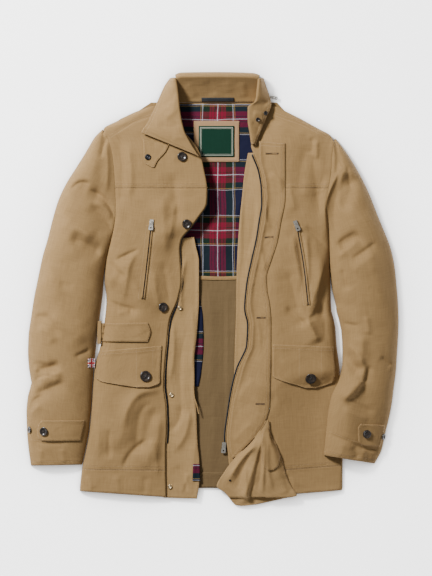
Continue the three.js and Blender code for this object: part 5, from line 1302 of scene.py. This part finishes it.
def flap_height(height, seed):
    """How a pocket flap lies: sewn down at its top, its lower edge a little off the cloth."""
    def lying(x, y, u, t):
        free = ease(1 - t / 3.2)
        waves = 0.8 * waviness(x, y, 26, seed) * free
        return height(x, y) + 0.8 + SHELL + 1.9 * free + np.maximum(waves, -0.7) * free

    return lying


on_flap = {}
for side, rows, height, seed, box_sides in (
    ("right", FLAP_RIGHT, on_right, 91, (-151, -118)),
    ("left", FLAP_LEFT, on_left, 93, (174, 218)),
):
    flap = cloth(
        f"flap_of_{side}_pocket", strip(rows, 2.0, flap_height(height, seed)), SHELL, cotton, "shell",
        [f"pocket_flap_{side}"], hem="LRB", seam="T",
    )
    on_flap[side] = heights_on(flap)
    box = [line_over(on_flap[side], (x, -186), (x, -120)) for x in box_sides]
    sewn(f"pocket_stitching_{side}", [*box, *rows_in(flap, "T"), *rows_in(flap, "LRB", False)])

# Tabs
# A waist tab runs from the right side seam to the front, held in a narrow keeper near the seam. The
# throat tab buttons the collar, and a tab on each cuff draws the sleeve in.
WAIST_TAB = table(
    "xa ya xb yb",
    (-225, -107, -128, -108), (-225, -88, -122, -88), (-224, -70, -128, -69),
)
THROAT_TAB = table(
    "xa ya xb yb",
    (-119, 240, -115, 241), (-136, 252, -108, 254), (-137, 276, -92, 272), (-138, 297, -86, 284),
)
CUFF_TAB_RIGHT = table(
    "xa ya xb yb",
    (-340, -305, -262, -305), (-348, -297, -260, -297), (-349, -284, -257, -284), (-346, -272, -255, -272),
    (-340, -264, -254, -264),
)
CUFF_TAB_LEFT = table(
    "xa ya xb yb",
    (298, -314, 336, -318), (292, -306, 338, -310), (291, -292, 341, -296), (291, -280, 344, -284),
    (296, -271, 346, -274),
)
TAB_LAP = 1.0


def tab(name, rows, height, node_name, sides="LRBT", pad=0.9):
    """A small double strap that is sewn on top of a panel, with a row of stitches round it."""
    grid = strip(rows, 1.7, over(height, TAB_LAP + SHELL, pad))
    made = cloth(name, grid, SHELL, cotton, "shell", [node_name], hem=sides)
    sewn(f"{name}_stitching", rows_in(made, sides, False))
    return made


waist_strap = tab("waist_strap", WAIST_TAB, on_right, "waist_tab_right")
throat_strap = tab("throat_strap", THROAT_TAB, on_right, "throat_tab", "LRB", 0.2)
right_strap = tab("right_cuff_strap", CUFF_TAB_RIGHT, on_right_sleeve, "cuff_tab_right")
left_strap = tab("left_cuff_strap", CUFF_TAB_LEFT, on_left_sleeve, "cuff_tab_left")

KEEPER = table(
    "xa ya xb yb",
    (-229, -112, -221, -112), (-229, -88, -221, -88), (-228, -66, -220, -66),
)
on_strap = heights_on(waist_strap, *right_panels)
cloth(
    "waist_keeper", strip(KEEPER, 1.2, over(on_strap, 2.0, 0.5), 8), 1.0, cotton, "shell", hem="LR",
)

# Chest zips
# Each slit has a folded welt of cotton on both sides and a black coil zip between them, with a line of
# stitches round it. The sliders are polished metal, and their pulls hang free.
CHEST_ZIP_RIGHT = table(
    "xa ya xb yb",
    (-139.4, -22, -135.8, -22), (-131, 50, -127.4, 50), (-123, 124, -119.4, 124),
)
CHEST_ZIP_LEFT = table(
    "xa ya xb yb",
    (190.2, -34, 193.8, -34), (182, 40, 185.6, 40), (168.4, 121, 172, 121),
)
WELT_WIDE, WELT_THICK = 3.4, 1.1


def dyed_tape(name, colour, thread):
    """Woven tape: colour, with fine ribs across. It is paler in its yarn's streaks, its own tone, and on the
    ribs' crests, a painted highlight.
    """
    material, tree, shader = surface(name, {"Roughness": 0.62, "Specular IOR Level": 0.3})
    threads = placed(tree, weave, {"Vector": place_in(tree), "Thread": thread})
    slub_tone_and_painted_light = calc(tree, "MULTIPLY_ADD", threads["Streak"], 0.8, calc(tree, "MULTIPLY", threads["Height"], 0.4))
    paler_yarn_and_lit_crest = tuple(2.4 * part for part in colour)
    relief = calc(tree, "MULTIPLY", threads["Height"], 0.00016)
    dressed(tree, shader, relief, blend(tree, slub_tone_and_painted_light, colour, paler_yarn_and_lit_crest))
    return material


black_tape = dyed_tape("black tape", (0.012, 0.013, 0.015), 0.0008)


def polished(name, colour, rough):
    """Polished metal, with fine scratches and dull spots."""
    material, tree, shader = surface(name, {"Base Color": (*colour, 1), "Metallic": 1.0})
    there = place_in(tree)
    dull = calc(tree, "MULTIPLY_ADD", noise(tree, there, 260.0, 3.0, 0.6), 0.22, rough - 0.06)
    tree.links.new(dull, shader.inputs["Roughness"])
    lines = noise(tree, vector_calc(tree, "MULTIPLY", there, (3200, 240, 900)), 1.0, 2.0)
    dressed(tree, shader, calc(tree, "MULTIPLY", lines, 0.00001))
    return material


silver = polished("polished metal", (0.66, 0.62, 0.55), 0.22)
brass = polished("old brass", (0.58, 0.45, 0.27), 0.32)
gunmetal = polished("dark zip teeth", (0.030, 0.030, 0.033), 0.42)


def beside(points, out):
    """A line of points moved sideways over the table, to the right of the way it runs."""
    dx, dy = np.gradient(points[:, 0]), np.gradient(points[:, 1])
    length = np.hypot(dx, dy)
    return points + np.stack([out * dy / length, -out * dx / length, 0 * length], axis=1)


def side_line(rows, height, out, lift):
    """A line beside a narrow strip's middle: out to its right, lifted over the surface."""
    t = np.linspace(0, len(rows) - 1, 46)
    x = (column(rows, "xa", t) + column(rows, "xb", t)) / 2
    y = (column(rows, "ya", t) + column(rows, "yb", t)) / 2
    line = beside(np.stack([x, y, 0 * t], axis=1), out)
    line[:, 2] = height(line[:, 0], line[:, 1]) + lift
    return line


def ribbon(rows, height, left, right, lift, arch=0.0, across=7):
    """The grid of a ribbon along a strip's middle, between two distances to its sides."""
    shares = np.linspace(0, 1, across)
    lifts = [lift + arch * np.sqrt(max(0.0, 1 - (2 * share - 1) ** 2)) for share in shares]
    lines = [side_line(rows, height, mix(left, right, s), up) for s, up in zip(shares, lifts)]
    return np.stack(lines, axis=1)


UPWARD = (0.0, 0.0, 1.0)
SLIT_HALF = 0.65
ZIP_TAPE_HALF = 2.4
ZIP_BOX = (-9.5, 8.5)  # how far the stitched box lies off the slit, on its two sides
ZIP_BOX_END = 8
for side, rows, height in (("right", CHEST_ZIP_RIGHT, on_right), ("left", CHEST_ZIP_LEFT, on_left)):
    tape = ribbon(rows, height, -ZIP_TAPE_HALF, ZIP_TAPE_HALF, 0.7)
    cloth(f"chest_zip_tape_{side}", tape, 0.7, black_tape, "tape", [f"chest_zip_{side}"])
    for edge, outward in (("outer", -1), ("inner", 1)):
        near, far = outward * SLIT_HALF, outward * (SLIT_HALF + WELT_WIDE)
        grid = ribbon(rows, height, near, far, 0.9, 1.5, across=9)
        cloth(f"chest_welt_{edge}_{side}", grid, WELT_THICK, cotton, "shell", hem="R")
    coil = [side_line(rows, height, out, 0.8) for out in (-0.4, 0.4)]
    coil = [(line, np.tile(UPWARD, (len(line), 1))) for line in coil]
    sewn(f"chest_zip_coil_{side}", coil, gunmetal, "tape")
    top, bottom = rows[-1], rows[0]
    boxed = [side_line(rows, height, out, 0.0)[::3, :2] for out in ZIP_BOX]
    for end, up in ((top, 1), (bottom, 0)):
        boxed.append([(end["xa"] - ZIP_BOX_END, end["ya"] + up), (end["xb"] + ZIP_BOX_END, end["yb"] + up)])
    sewn(f"chest_zip_stitching_{side}", [line_over(height, *line) for line in boxed])

# Main zip
# Each side of the zip is a black tape sewn between front and facing, with a chain of dark metal teeth
# clamped to its edge. The slider waits at the left side's lower end, above the retaining box.
CHAIN_GAP, CHAIN_WIDE, CHAIN_LIFT = 0.3, 5.0, 2.0
TOOTH_PITCH = 2.1
TOOTH = (2.7, 1.15, 1.0)  # length, width and height
TEETH_OFF, PIPING_OFF = 3.3, 1.2  # how far the teeth and the piping lie off the front's edge
PIPING = 0.7  # radius


def chain_line(rows, towards, low, high, out, steps=220):
    """A line beside a front's inner edge, at the height of its chain."""
    y = np.linspace(low, high, steps)
    t = row_at(rows, "yi", y)
    x, z = column(rows, "xi", t), column(rows, "inner", t) - FACING_DROP + CHAIN_LIFT
    if towards > 0:  # the right chain's upper end turns under
        out = out * (1 - 0.55 * ease((y - 20) / 60))
    return beside(np.stack([x, y, z], axis=1), towards * out)


for side, *zip_side in (("right", FRONT_RIGHT, 1, -310, 196), ("left", FRONT_LEFT, -1, -308, 268)):
    lines = [chain_line(*zip_side, out) for out in np.linspace(CHAIN_GAP, CHAIN_GAP + CHAIN_WIDE, 5)]
    grid = np.stack(lines, axis=1) - [0, 0, 0.6]
    cloth(
        f"zip_tape_{side}", grid, 0.8, black_tape, "tape", [f"main_zip_{side}"],
    )
    middle = chain_line(*zip_side, TEETH_OFF, 900)
    run = run_of(middle)
    teeth = sampled(np.arange(TOOTH_PITCH, run[-1] - 1, TOOTH_PITCH), run, middle)
    sideways = np.cross(np.gradient(teeth, axis=0), UPWARD)
    chain = bars(teeth - [0, 0, 0.4], sideways, UPWARD, *TOOTH)
    meshed(f"zip_teeth_{side}", *chain, gunmetal, "tape", smooth=False)
    cord = chain_line(*zip_side, PIPING_OFF, 160)
    ring = np.linspace(0, 2 * np.pi, 7)[:-1]
    tube = cord[:, None, :] + PIPING * np.stack([np.cos(ring), 0 * ring, np.sin(ring)], axis=1)[None]
    wrapped = np.concatenate([tube, tube[:, :1]], axis=1).reshape(-1, 3)
    meshed(f"zip_piping_{side}", wrapped, quads(len(cord), 7), facing_cotton, "facing")

slider_low, slider_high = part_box("main_slider")
under_slider = Vector(((slider_low.x + slider_high.x) / 2, slider_low.y, 0)) - shift
BOX_AT = (under_slider.x * 1000, under_slider.y * 1000 - 2.4, 5.4)  # the box in which the closed zip starts
pin = bars(BOX_AT, (1.0, 0.0, 0.0), UPWARD, 9.5, 5.6, 2.0)
meshed("zip_retaining_box", *pin, gunmetal, "metal", smooth=False)

# Sliders and pulls
# Cast metal, polished. They keep their solids, with their edges eased.
ZIPS = ("chest_right", "chest_left", "main", "hood")
CASTINGS = [f"{place}_{part}" for place in ZIPS for part in ("slider", "pull")]
finish_nodes(silver, *CASTINGS)
for name in CASTINGS:
    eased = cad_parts[name].modifiers.new("eased edges", "BEVEL")
    eased.width = 0.00025
    eased.segments = 2
    eased.limit_method = "ANGLE"

# Buttons
# Dark marbled horn-like buttons with a raised rim and four holes, sewn on with dark thread.
horn, horn_tree, horn_shader = surface("marbled button", {"Roughness": 0.3, "Coat Weight": 0.1})
horn_at = place_in(horn_tree)
horn_ramp = node(horn_tree, "ValToRGB", {0: noise(horn_tree, horn_at, 120.0, 5.0, 0.6, 2.2)})
for stop, place, colour in zip(
    horn_ramp.color_ramp.elements, (0.42, 0.72), ((0.006, 0.005, 0.005, 1), (0.060, 0.040, 0.027, 1))
):
    stop.position, stop.color = place, colour
horn_tree.links.new(horn_ramp.outputs[0], horn_shader.inputs["Base Color"])
horn_rough = calc(horn_tree, "MULTIPLY_ADD", noise(horn_tree, horn_at, 700.0), 0.16, 0.20)
horn_tree.links.new(horn_rough, horn_shader.inputs["Roughness"])

# From the middle of the face out to the rim and round underneath: share of the radius, and height
BUTTON_PROFILE = [
    (0.00, 0.46), (0.30, 0.47), (0.46, 0.50), (0.56, 0.58), (0.66, 0.80), (0.76, 0.95), (0.86, 1.00),
    (0.94, 0.92), (0.99, 0.74), (1.00, 0.52), (0.96, 0.28), (0.84, 0.10), (0.60, 0.00), (0.00, 0.00),
]
SNAP_PROFILE = [
    (0.00, 0.55), (0.16, 0.50), (0.30, 0.30), (0.44, 0.26), (0.52, 0.60), (0.64, 0.95), (0.80, 1.00),
    (0.95, 0.80), (1.00, 0.40), (0.96, 0.05), (0.80, 0.00), (0.00, 0.00),
]
# Holes: thin dark discs in the thread's colour, painted shade in each hole together with the thread that
# fills it.
HOLE_SHADE_DISC = [(0.0, 0.03), (0.6, 0.03), (1.0, 0.0), (0.0, 0.0)]
HOLE_OFF, HOLE_RADIUS, HOLE_THREAD = 0.19, 0.105, 0.09  # as shares of the button's radius
HOLE_HIGH = 0.475  # as a share of the button's thickness


def turned(profile, radius, thick, around=48):
    """Points and faces of a round piece turned from its profile, closed at both ends."""
    angle = np.linspace(0, 2 * np.pi, around, endpoint=False)
    rings = [
        np.stack([r * radius * np.cos(angle), r * radius * np.sin(angle), 0 * angle + h * thick], axis=1)
        for r, h in profile[1:-1]
    ]
    points = np.concatenate([[[0, 0, profile[0][1] * thick]], *rings, [[0, 0, profile[-1][1] * thick]]])
    sides = list(zip(range(around), np.roll(np.arange(around), -1)))
    faces = [(0, 1 + a, 1 + b) for a, b in sides]
    for low in range(1, 1 + (len(rings) - 1) * around, around):
        faces += [(low + a, low + around + a, low + around + b, low + b) for a, b in sides]
    last = 1 + (len(rings) - 1) * around
    return points, faces + [(last + a, len(points) - 1, last + b) for a, b in sides]


def joined(parts):
    """Several lots of points and faces as one."""
    faces, start = [], 0
    for points, part_faces in parts:
        faces += [tuple(int(k) + start for k in face) for face in part_faces]
        start += len(points)
    return np.concatenate([points for points, part_faces in parts]), faces


def lay_on(height, x, y, lift, points, tilt=None):
    """Points set down on a surface, with their Z along its normal or along a given tilt."""
    reach = 5.0
    normal = tilt or (
        float(height(x - reach, y) - height(x + reach, y)),
        float(height(x, y - reach) - height(x, y + reach)),
        2 * reach,
    )
    normal = Vector(normal).normalized()
    turn = np.array(normal.to_track_quat("Z", "Y").to_matrix())
    return points @ turn.T + (np.array([x, y, float(height(x, y))]) + lift * np.array(normal))


dark_thread = sewing_thread("dark thread", (0.035, 0.030, 0.028), 1600.0, 0.0001)


def button(name, across, height, x, y, stands_for=(), thick=3.2, lift=1.2, tilt=None):
    """A button with four holes and the thread that holds it. The holes are thin dark discs of the thread's
    colour on its face: painted shade in each hole, with the thread that fills it.
    """
    radius = across / 2
    points, faces = turned(BUTTON_PROFILE, radius, thick)
    meshed(name, lay_on(height, x, y, lift, points, tilt), faces, horn, "button", stands_for)
    out = HOLE_OFF * radius
    parts = []
    for a, b in ((1, 1), (1, -1), (-1, 1), (-1, -1)):
        points, faces = turned(HOLE_SHADE_DISC, HOLE_RADIUS * radius, 1.0, 12)
        parts.append((points + [a * out, b * out, HOLE_HIGH * thick], faces))
    for sign in (1, -1):
        crossing = (1.0, sign, 0.0)
        parts.append(bars((0, 0, 0.5 * thick), crossing, UPWARD, 2.9 * out, HOLE_THREAD * radius, 0.35))
    points, faces = joined(parts)
    meshed(f"{name}_thread", lay_on(height, x, y, lift, points, tilt), faces, dark_thread, "button")


BUTTON, FRONT_BUTTON, CUFF_BUTTON, EDGE_BUTTON, SNAP, THROAT_SNAP = 22, 22 * 0.86, 17, 13, 9, 12
on_right_strap, on_left_strap = heights_on(right_strap), heights_on(left_strap)
on_left_collar = heights_on(left_collar)
for place, across, height, x, y, solid in (
    ("right_pocket", BUTTON, on_flap["right"], -133, -176, "pocket_button_right"),
    ("left_pocket", BUTTON, on_flap["left"], 197, -180, "pocket_button_left"),
    ("front_top", FRONT_BUTTON, on_right, -60, 262, "front_button_top"),
    ("front_chest", FRONT_BUTTON, on_right, -50, 128, "front_button_chest"),
    ("front_waist", FRONT_BUTTON, on_right, -98, -38, "front_button_waist"),
    ("right_cuff", CUFF_BUTTON, on_right_strap, -335, -286, "cuff_button_right"),
    ("left_cuff", CUFF_BUTTON, on_left_strap, 308, -291, "cuff_button_left"),
):
    button(f"button_{place}", across, height, x, y, [solid])
button("button_collar_upper", SNAP, on_left_collar, 106, 349, ["collar_button_upper"], 2.4, 0.9)
button("button_collar_lower", SNAP, on_left_collar, 91, 336, ["collar_button_lower"], 2.4, 0.9)

# Press studs
# Small turned studs on the right facing and a larger one on the throat tab, with a raised ring. A
# small eyelet of the same form sits in the turned-out corner.
on_throat = heights_on(throat_strap)
for name, across, height, x, y, metal in (
    ("waist", SNAP, on_right_facing, -64.5, -40, brass),
    ("hip", SNAP, on_right_facing, -81, -214, brass),
    ("hem", SNAP, on_right_facing, -84, -397, brass),
    ("throat", THROAT_SNAP, on_throat, -128, 261, gunmetal),
):
    points, faces = turned(SNAP_PROFILE, across / 2, 2.0)
    meshed(f"stud_{name}", lay_on(height, x, y, 0.5, points), faces, metal, "metal", [f"snap_{name}"])
points, faces = turned(SNAP_PROFILE, 2.2, 0.8)
meshed("eyelet_corner", lay_on(on_corner, 36, -384, 0.3, points), faces, gunmetal, "metal")

# Buttonholes
# Four on the storm flap: a slit with close-set stitches along both sides, and a round eye at the end
# towards the flap's seam.
BUTTONHOLES = table(
    "xa xb y tilt",
    (107, 131, 268, 0.0), (105, 121, 101, 0.05), (89, 105.4, -59.4, 0.0), (87, 103.6, -231.4, 0.0),
)
HOLE_PITCH = 0.62
EYE = 1.6  # radius of the round eye
on_storm_flap = heights_on(storm_flap)
slit_dark = dyed_tape("slit shadow", (0.020, 0.013, 0.007), 0.0006)
thread_brown = sewing_thread("buttonhole thread", (0.150, 0.088, 0.038), 1500.0, 0.0001)
hole_stitches, slit_shadows = [], []
for hole in BUTTONHOLES:
    long = hole["xb"] - hole["xa"]
    at = np.arange(0, long, HOLE_PITCH)
    x, y = hole["xa"] + at, hole["y"] + hole["tilt"] * at
    for out in (-1.15, 1.15):
        middle = np.stack([x, y + out, on_storm_flap(x, y + out)], axis=1)
        hole_stitches.append(bars(middle, (0.0, 1.0, 0.0), UPWARD, 1.5, 0.5, 0.34))
    angle = np.linspace(0, 2 * np.pi, 18)[:-1]
    eye_x, eye_y = hole["xb"] + EYE * np.cos(angle), y[-1] + EYE * np.sin(angle)
    middle = np.stack([eye_x, eye_y, on_storm_flap(eye_x, eye_y)], axis=1)
    away = np.stack([np.cos(angle), np.sin(angle), 0 * angle], axis=1)
    hole_stitches.append(bars(middle, away, UPWARD, 1.3, 0.5, 0.36))
    # Painted shadow: the slit and its eye are not cut. They are thin dark bars laid on the flap.
    slit, eye = (hole["xa"] + long / 2, hole["y"], long, 0.8), (hole["xb"], y[-1], 2.0, 2.0)
    for x, y, size_long, size_wide in (slit, eye):
        middle = (x, y, float(on_storm_flap(x, y)))
        slit_shadows.append(bars(middle, (1.0, hole["tilt"], 0.0), UPWARD, size_long, size_wide, 0.14))
meshed("buttonhole_stitches", *joined(hole_stitches), thread_brown, "shell")
meshed("buttonhole_slit_shadows", *joined(slit_shadows), slit_dark, "shell")

# Cuff buttons seen edge on
# The second button of each cuff sits at the sleeve's outer fold, facing outward.
button("button_right_cuff_outer", EDGE_BUTTON, on_right_sleeve, -363.5, -283, (), 2.6, 0.4, (-1.0, 0.0, 0.55))
button("button_left_cuff_outer", EDGE_BUTTON, on_left_sleeve, 341.5, -297, (), 2.6, 0.4, (1.0, -0.2, 0.55))

# Neck label
# A large patch of smooth tan cotton, stitched down all round, carries a dark green woven label with
# a plain light border. The label is otherwise bare.
LABEL_AT = (9, 293)
LABEL_WIDE, LABEL_DEEP = 71, 62
LABEL_MARGIN = 10  # how far the patch reaches past the label on each side
mount_box, label_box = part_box("label_mount"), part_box("label")


def patch(name, wide, deep, low, thick, material, slot, node_name, hem, seed):
    """A flat rectangular patch of cloth round the label's middle."""
    cell = 1.6
    x, y = flat_grid((-wide / 2, wide / 2), (-deep / 2, deep / 2), int(wide / cell), int(deep / cell))
    loose = ease((wide / 2 - np.abs(x)) / 8) * ease((deep / 2 - np.abs(y)) / 8)
    z = low + thick + 0.9 + loose * (0.5 + 0.35 * waviness(x, y, 24, seed))
    grid = np.stack([x + LABEL_AT[0], y + LABEL_AT[1], z], axis=2)
    return cloth(name, grid, thick, material, slot, [node_name], hem=hem)


mount_cotton = woven("label patch", (0.350, 0.215, 0.112), (0.290, 0.172, 0.086), thread=0.0007, relief=0.3)
mount = patch(
    "label_patch", LABEL_WIDE + 2 * LABEL_MARGIN, LABEL_DEEP + 2 * LABEL_MARGIN, mount_box[0].z * 1000, 1.0,
    mount_cotton, "label_mount", "label_mount", "LRBT", 101,
)
sewn("label_patch_stitching", rows_in(mount, "LRBT", False), slot="label_mount")

# The label's border: two thin light lines, drawn from the distance to its sides in millimetres
label_green, dyed, label_shader = surface("green woven label", {"Roughness": 0.8, "Specular IOR Level": 0.1})
label_at = node(dyed, "UVMap", uv_map="cloth").outputs[0]
label_axes = node(dyed, "SeparateXYZ", {0: label_at}).outputs
inside = []
for axis, size in enumerate((LABEL_WIDE, LABEL_DEEP)):
    off = calc(dyed, "ABSOLUTE", calc(dyed, "SUBTRACT", label_axes[axis], size / 2000))
    inside.append(calc(dyed, "MULTIPLY", calc(dyed, "SUBTRACT", size / 2000, off), 1000.0))
label_in = calc(dyed, "MINIMUM", *inside)
border = 0.0
for row, half_line in ((3.2, 0.55), (5.4, 0.30)):
    off = calc(dyed, "ABSOLUTE", calc(dyed, "SUBTRACT", label_in, row))
    border = calc(dyed, "MAXIMUM", border, calc(dyed, "LESS_THAN", off, half_line))
label_threads = placed(dyed, weave, {"Vector": label_at, "Thread": 0.0005})
satin = calc(dyed, "MULTIPLY_ADD", label_threads["Streak"], 0.7, 0.1)
green = blend(dyed, satin, (0.003, 0.018, 0.010), (0.006, 0.038, 0.022))
label_colour = blend(dyed, border, green, (0.36, 0.38, 0.31))
label_relief = calc(dyed, "MULTIPLY", label_threads["Height"], 0.00006)
label_relief = calc(dyed, "MULTIPLY_ADD", border, 0.00016, label_relief)
dressed(dyed, label_shader, label_relief, label_colour)
patch(
    "neck_label", LABEL_WIDE, LABEL_DEEP, label_box[0].z * 1000 + 0.9, 0.7, label_green, "label", "label", "",
    103,
)

# Hanging loop
# A black woven tape across the neck seam, folded under and barred at both ends, left bare.
HANGER_X, HANGER_Y, HANGER_DEEP = (-21, 44), 376, 7.4
hanger_sides = (HANGER_Y - HANGER_DEEP / 2, HANGER_Y + HANGER_DEEP / 2)
hanger_x, hanger_y = flat_grid(HANGER_X, hanger_sides, 46, 8)
hanger_share = (hanger_x - HANGER_X[0]) / (HANGER_X[1] - HANGER_X[0])
hanger_z = np.maximum(on_back_collar(hanger_x, hanger_y), 5.0) + 1.9
hanger_z = hanger_z + 1.6 * ease(5 * hanger_share) * ease(5 * (1 - hanger_share))
hanger = cloth(
    "hanging_tape", np.stack([hanger_x, hanger_y, hanger_z], axis=2), 1.1, black_tape, "tape",
    ["hanging_loop"],
)
on_hanger = heights_on(hanger)
bar_lines = [line_over(on_hanger, (x, HANGER_Y - 3), (x, HANGER_Y + 3)) for x in (-19.4, -17.8, 40.8, 42.4)]
sewn("hanging_tape_bars", bar_lines, dark_thread, "tape")

# Side tag
# A tiny woven tag in the right side seam: a red cross edged in white on blue, with white diagonals.
FLAG_TAG = table(
    "xa ya xb yb",
    (-247, -159, -235.4, -159), (-247, -141, -234.6, -141),
)
FLAG_BLUE, FLAG_WHITE, FLAG_RED = (0.010, 0.022, 0.110), (0.80, 0.80, 0.78), (0.52, 0.012, 0.030)
flag, woven_in, flag_shader = surface("woven tag", {"Roughness": 0.65, "Specular IOR Level": 0.2})
flag_low, flag_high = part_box("flag_tag")
flag_there = place_in(woven_in)
flag_half = (flag_high - flag_low) / 2
flag_from = vector_calc(woven_in, "SUBTRACT", flag_there, tuple((flag_low + flag_high) / 2))
flag_scaled = vector_calc(woven_in, "MULTIPLY", flag_from, (1 / flag_half.x, 1 / flag_half.y, 1.0))
flag_axes = node(woven_in, "SeparateXYZ", {0: flag_scaled}).outputs
flag_x, flag_y = (calc(woven_in, "ABSOLUTE", flag_axes[k]) for k in (0, 1))
cross = calc(woven_in, "MINIMUM", flag_x, flag_y)
slant = calc(woven_in, "ABSOLUTE", calc(woven_in, "SUBTRACT", flag_x, flag_y))
flag_colour = FLAG_BLUE
for mask, width, band in (
    (slant, 0.22, FLAG_WHITE), (slant, 0.08, FLAG_RED), (cross, 0.36, FLAG_WHITE), (cross, 0.20, FLAG_RED)
):
    flag_colour = blend(woven_in, calc(woven_in, "LESS_THAN", mask, width), flag_colour, band)
flag_threads = placed(woven_in, weave, {"Vector": flag_there, "Thread": 0.0008})
dressed(woven_in, flag_shader, calc(woven_in, "MULTIPLY", flag_threads["Height"], 0.00012), flag_colour)
cloth(
    "side_tag", strip(FLAG_TAG, 1.2, over(lambda x, y: np.maximum(on_right_sleeve(x, y), 4), 1.6)), 0.9, flag,
    "flag", ["flag_tag"],
)
